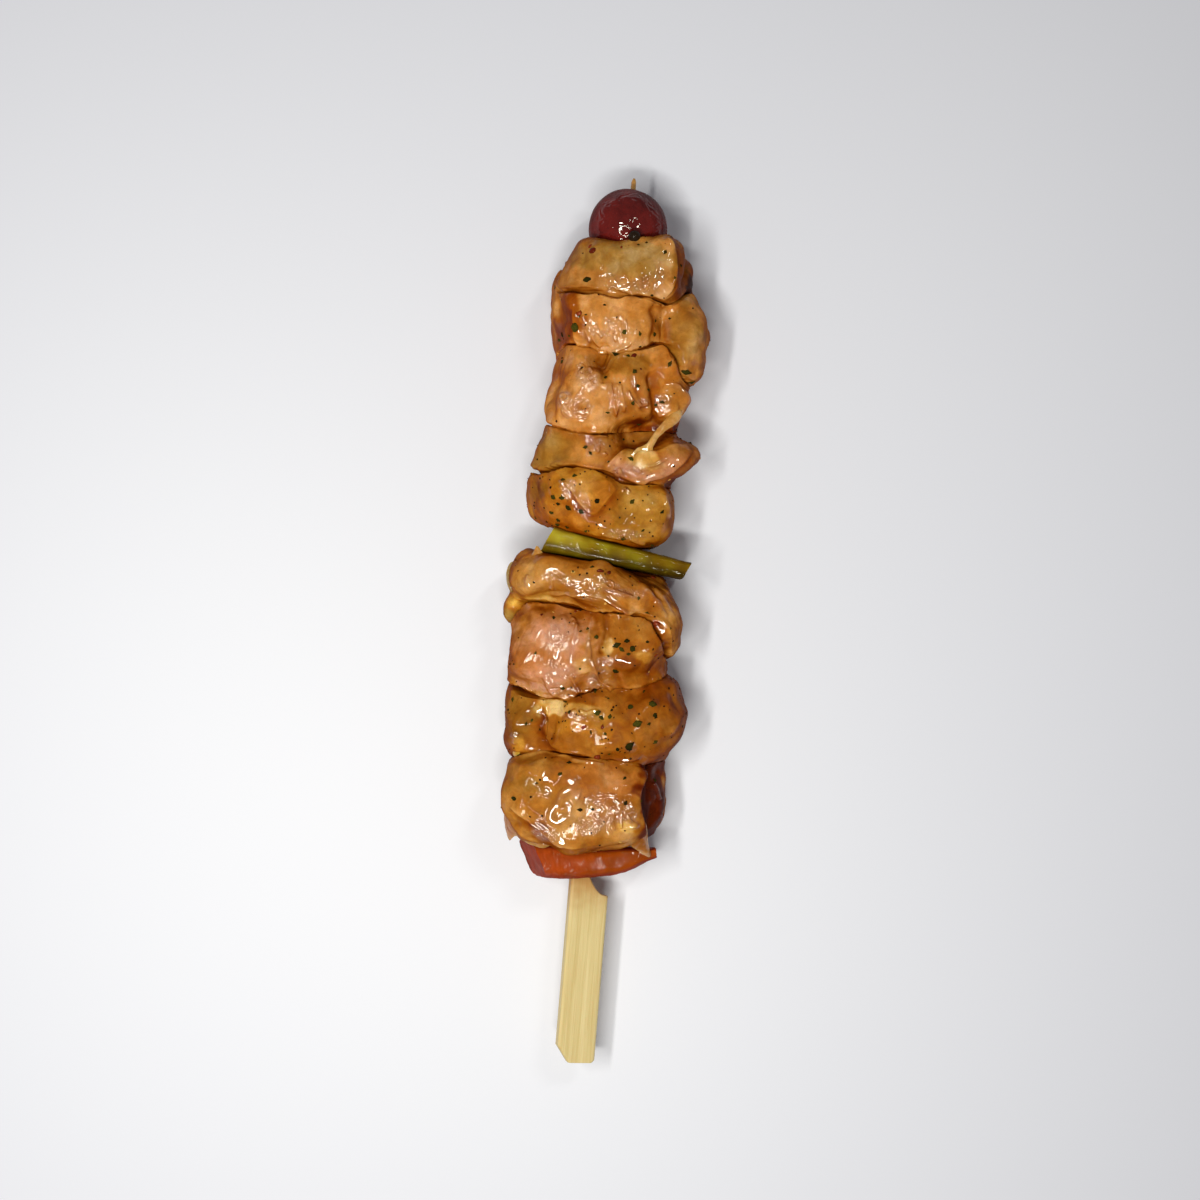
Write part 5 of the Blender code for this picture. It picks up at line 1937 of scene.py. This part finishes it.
def spread(name, draw, shape, spots, size, sink, material):
    """Copies of a small shape at spots on the meat, in one mesh made from arrays.

    size gives each copy's half length, half width and half height. Each of its corners is
    moved a little, so that no two copies are alike.
    """
    vertices, quads, triangles = shape
    centre, up, side = spots
    side = side / np.linalg.norm(side, axis=1, keepdims=True)
    other = np.cross(up, side)
    count = len(centre)
    local = vertices[None] * draw.uniform(0.7, 1.25, (count, len(vertices), 3)) * size[:, None]
    made = centre[:, None] + up[:, None] * sink
    made = made + side[:, None] * local[..., :1] + other[:, None] * local[..., 1:2]
    made = made + up[:, None] * local[..., 2:]
    shift = np.arange(count)[:, None, None] * len(vertices)
    hue = np.repeat(draw.uniform(0, 1, count), len(vertices))
    return new_piece(
        name, made.reshape(-1, 3), (quads[None] + shift).reshape(-1, 4),
        (triangles[None] + shift).reshape(-1, 3), material, values={"hue": hue},
    )


def spice_sizes(draw, length, widths, heights):
    """Half length, half width and half height of copies of the given lengths."""
    half = np.asarray(length) / 2
    return np.stack([
        half, half * draw.uniform(*widths, len(half)), half * draw.uniform(*heights, len(half)),
    ], -1)


def spice_finish(name, dark, pale, roughness, coat):
    """A spice under the wet film, each grain of its own tone between two colours."""
    finish = Finish(
        name, Roughness=roughness, Specular_IOR_Level=0.03, Coat_Weight=coat, Coat_Roughness=0.1,
    )
    fine = finish.noise(finish.place(), 0.35, 3.0, 0.6)
    share = finish.add("Math", {"operation": "MULTIPLY"})
    finish.feed(share.inputs[0], finish.attribute("hue", "Fac"))
    finish.feed(share.inputs[1], finish.between(fine, 0.3, 0.7, 0.4, 1.3))
    finish.surface(
        Base_Color=finish.mix(share, solid(dark), solid(pale)),
        Normal=finish.bump(fine, 0.08),
    )
    return finish.material


def both(first, second):
    """Two sets of spots as one."""
    return tuple(np.concatenate(pair) for pair in zip(first, second))


def make_spices(sizes):
    """Herb leaves and chilli where they stand out, and smaller ones, specks and seeds between."""
    def spicier(name):
        return LOOKS[name].herbs

    def even(name):
        return 1.0

    draw = np.random.default_rng(SPICE_SEED)
    leaf, grain = leaf_shape(), blob_shape()
    placed = [HERB_SCALE * row[2] for row in HERB_PLACES]
    length = np.concatenate([placed, draw.uniform(*HERB_LENGTHS, sizes.herb_count)])
    spots = both(chosen_spots(HERB_PLACES), random_spots(draw, sizes.herb_count, spicier))
    green = spice_finish("dried_herb", COLOURS["herb_dark"], sizes.herb_colour, 0.8, 0.0)
    size = spice_sizes(draw, length, (0.5, 0.85), (0.7, 1.3))
    spread("herb_leaves", draw, leaf, spots, size, 0.1, green)
    black = spice_finish("ground_pepper", *two_tones("ground"), 0.7, 0.05)
    length = draw.uniform(*SPECK_LENGTHS, sizes.speck_count)
    size = spice_sizes(draw, length, (0.5, 1.0), (0.4, 0.8))
    spots = random_spots(draw, sizes.speck_count, spicier)
    spread("pepper_specks", draw, grain, spots, size, 0.03, black)
    placed = [row[2] for row in CHILLI_PLACES]
    length = np.concatenate([placed, draw.uniform(*CHILLI_LENGTHS, sizes.chilli_count)])
    spots = both(chosen_spots(CHILLI_PLACES), random_spots(draw, sizes.chilli_count, even))
    red = spice_finish("chilli_flakes", *two_tones("chilli"), 0.5, 0.2)
    size = spice_sizes(draw, length, (0.5, 0.9), (0.25, 0.45))
    spread("chilli_bits", draw, grain, spots, size, 0.0, red)
    pale = spice_finish("chilli_seeds", *two_tones("seed"), 0.5, 0.2)
    length = draw.uniform(*SEED_LENGTHS, sizes.seed_count)
    size = spice_sizes(draw, length, (0.6, 0.9), (0.25, 0.45))
    spread("seeds", draw, grain, random_spots(draw, sizes.seed_count, even), size, 0.0, pale)


def make_peppercorn():
    """A wrinkled ball that lies where the first piece of meat meets the grape."""
    rays = ray_grid(*PEPPERCORN_GRID)
    wrinkle = PEPPERCORN_WRINKLE_DEPTH * np.abs(PEPPERCORN_WRINKLE.at(rays))
    grid = np.array(PEPPERCORN_PLACE) + rays * (PEPPERCORN_RADIUS - wrinkle)[..., None]
    vertices, quads, triangles = grid_shape(grid)
    values = {"hue": np.full(len(vertices), PEPPERCORN_HUE)}
    material = spice_finish("peppercorn_husk", *two_tones("husk"), 0.5, 0.3)
    return new_piece(
        "peppercorn", vertices, quads, triangles, material, values=values,
    )


def make_stage():
    """A pale floor, soft lights from the photograph's side, and the camera straight above."""
    finish = Finish("pale_floor", Roughness=0.5, Base_Color=solid(COLOURS["floor"]))
    bpy.ops.mesh.primitive_plane_add(size=FLOOR_SIZE, location=(0, 0, 0))
    floor = bpy.context.object
    floor.name = "floor"
    floor.data.materials.append(finish.material)
    world = bpy.data.worlds.new("pale_room")
    world.use_nodes = True
    background = world.node_tree.nodes["Background"]
    background.inputs["Color"].default_value = (1, 1, 1, 1)
    background.inputs["Strength"].default_value = ROOM_LIGHT
    bpy.context.scene.world = world
    for name, (place, size, turn, power) in LIGHTS.items():
        add_light(name, place, size, turn, power)
    add_camera()
    bpy.context.scene.view_settings.view_transform = "Standard"


def add_light(name, place, size, turn, power):
    """A long narrow light that faces straight down, so that wet ripples show it as lines."""
    light = bpy.data.lights.new(name, "AREA")
    light.shape = "RECTANGLE"
    light.size, light.size_y = size
    light.energy = power
    light.color = LAMP_COLOUR
    made = new_object(name, light)
    made.location = place
    made.rotation_euler = (0, 0, math.radians(turn))


def add_camera():
    """The camera, whose frame takes in the photograph's width at the photograph's level."""
    camera = bpy.data.cameras.new("camera")
    camera.sensor_width = SENSOR_WIDTH
    span = PHOTO_PIXELS * PHOTO_MM_PER_PX
    camera.lens = SENSOR_WIDTH * (CAMERA_HEIGHT - PHOTO_LEVEL) / span
    made = new_object("camera", camera)
    made.location = (PHOTO_MIDDLE[0] * MM, PHOTO_MIDDLE[1] * MM, CAMERA_HEIGHT * MM)
    made.rotation_euler = (0, 0, math.radians(PHOTO_TURN))
    bpy.context.scene.camera = made


class KebabSizes(bpy.types.PropertyGroup):
    """What a user would change: how finely the meat is sampled, depths, counts and colours."""

    rings: IntProperty(
        name="Rings", description="Rings sampled on a piece of meat", default=128, min=30,
    )
    around: IntProperty(
        name="Around", description="Corners sampled on each ring", default=180, min=40,
    )
    glow_depth: FloatProperty(
        name="Glow depth", description="How deep light goes into the meat",
        default=0.0035, subtype="DISTANCE", unit="LENGTH",
    )
    face_depth: FloatProperty(
        name="Cut faces", description="Height of cut faces, in millimetres", default=2.0,
    )
    lump_depth: FloatProperty(
        name="Lumps", description="Height of lumps, in millimetres", default=0.5,
    )
    fibre_depth: FloatProperty(
        name="Fibres", description="Height of muscle fibres, in millimetres", default=0.25,
    )
    ripple_depth: FloatProperty(
        name="Ripples", description="Height of ripples as a share of their size", default=0.09,
    )
    herb_count: IntProperty(
        name="Herb leaves", description="How many small flakes of herb", default=60,
    )
    speck_count: IntProperty(
        name="Pepper specks", description="How many specks of black pepper", default=330,
    )
    chilli_count: IntProperty(
        name="Chilli bits", description="How many flakes of chilli", default=12,
    )
    seed_count: IntProperty(name="Seeds", description="How many pale seeds", default=16)
    grape_colour: FloatVectorProperty(
        name="Grape", description="Colour of the grape's paler patches",
        default=COLOURS["grape_pale"], subtype="COLOR", min=0, max=1,
    )
    bamboo_colour: FloatVectorProperty(
        name="Bamboo", description="Colour of the bamboo's paler fibres",
        default=COLOURS["bamboo_pale"], subtype="COLOR", min=0, max=1,
    )
    herb_colour: FloatVectorProperty(
        name="Herbs", description="Colour of the palest herb leaves",
        default=COLOURS["herb_pale"], subtype="COLOR", min=0, max=1,
    )


class KEBAB_OT_meat(bpy.types.Operator):
    """Makes the nine pieces of marinated meat and the tendon strand"""

    bl_idname = "kebab.meat"
    bl_label = "Pieces of meat"

    def execute(self, context):
        sizes = context.scene.kebab
        material = meat_finish(sizes)
        for name in CHICKEN:
            make_meat(name, material, sizes)
        make_strand(material)
        for name, flap in FLAPS.items():
            make_flap(name, flap, material)
        return {"FINISHED"}


class KEBAB_OT_grape(bpy.types.Operator):
    """Makes the grape at the skewer's point"""

    bl_idname = "kebab.grape"
    bl_label = "Grape"

    def execute(self, context):
        make_grape(context.scene.kebab)
        return {"FINISHED"}


class KEBAB_OT_peppers(bpy.types.Operator):
    """Makes the green and the red strip of sweet pepper"""

    bl_idname = "kebab.peppers"
    bl_label = "Pepper strips"

    def execute(self, context):
        make_green_pepper()
        make_red_pepper()
        return {"FINISHED"}


class KEBAB_OT_skewer(bpy.types.Operator):
    """Makes the bamboo skewer with its flat handle"""

    bl_idname = "kebab.skewer"
    bl_label = "Bamboo skewer"

    def execute(self, context):
        make_skewer(context.scene.kebab)
        return {"FINISHED"}


class KEBAB_OT_spices(bpy.types.Operator):
    """Scatters herbs, pepper, chilli and seeds on the meat that is made"""

    bl_idname = "kebab.spices"
    bl_label = "Herbs and spices"

    def execute(self, context):
        if not SKINS:
            raise RuntimeError("make the pieces of meat before the spices")
        make_spices(context.scene.kebab)
        make_peppercorn()
        return {"FINISHED"}


class KEBAB_OT_stage(bpy.types.Operator):
    """Makes the floor, the lights and the camera"""

    bl_idname = "kebab.stage"
    bl_label = "Stage"

    def execute(self, context):
        make_stage()
        return {"FINISHED"}


OPERATORS = (
    KEBAB_OT_skewer, KEBAB_OT_grape, KEBAB_OT_peppers, KEBAB_OT_meat, KEBAB_OT_spices, KEBAB_OT_stage,
)


class KEBAB_PT_panel(bpy.types.Panel):
    """Lists the kebab's operators and sizes"""

    bl_idname = "KEBAB_PT_panel"
    bl_label = "Kebab"
    bl_space_type = "VIEW_3D"
    bl_region_type = "UI"
    bl_category = "Kebab"

    def draw(self, context):
        for operator in OPERATORS:
            self.layout.operator(operator.bl_idname)
        for key in KebabSizes.__annotations__:
            self.layout.prop(context.scene.kebab, key)


CLASSES = (KebabSizes, *OPERATORS, KEBAB_PT_panel)


def register():
    for item in CLASSES:
        bpy.utils.register_class(item)
    bpy.types.Scene.kebab = PointerProperty(type=KebabSizes)


def unregister():
    del bpy.types.Scene.kebab
    for item in reversed(CLASSES):
        bpy.utils.unregister_class(item)


def main():
    register()
    bpy.ops.kebab.skewer()
    bpy.ops.kebab.grape()
    bpy.ops.kebab.peppers()
    bpy.ops.kebab.meat()
    bpy.ops.kebab.spices()
    bpy.ops.kebab.stage()


if __name__ == "__main__":
    main()
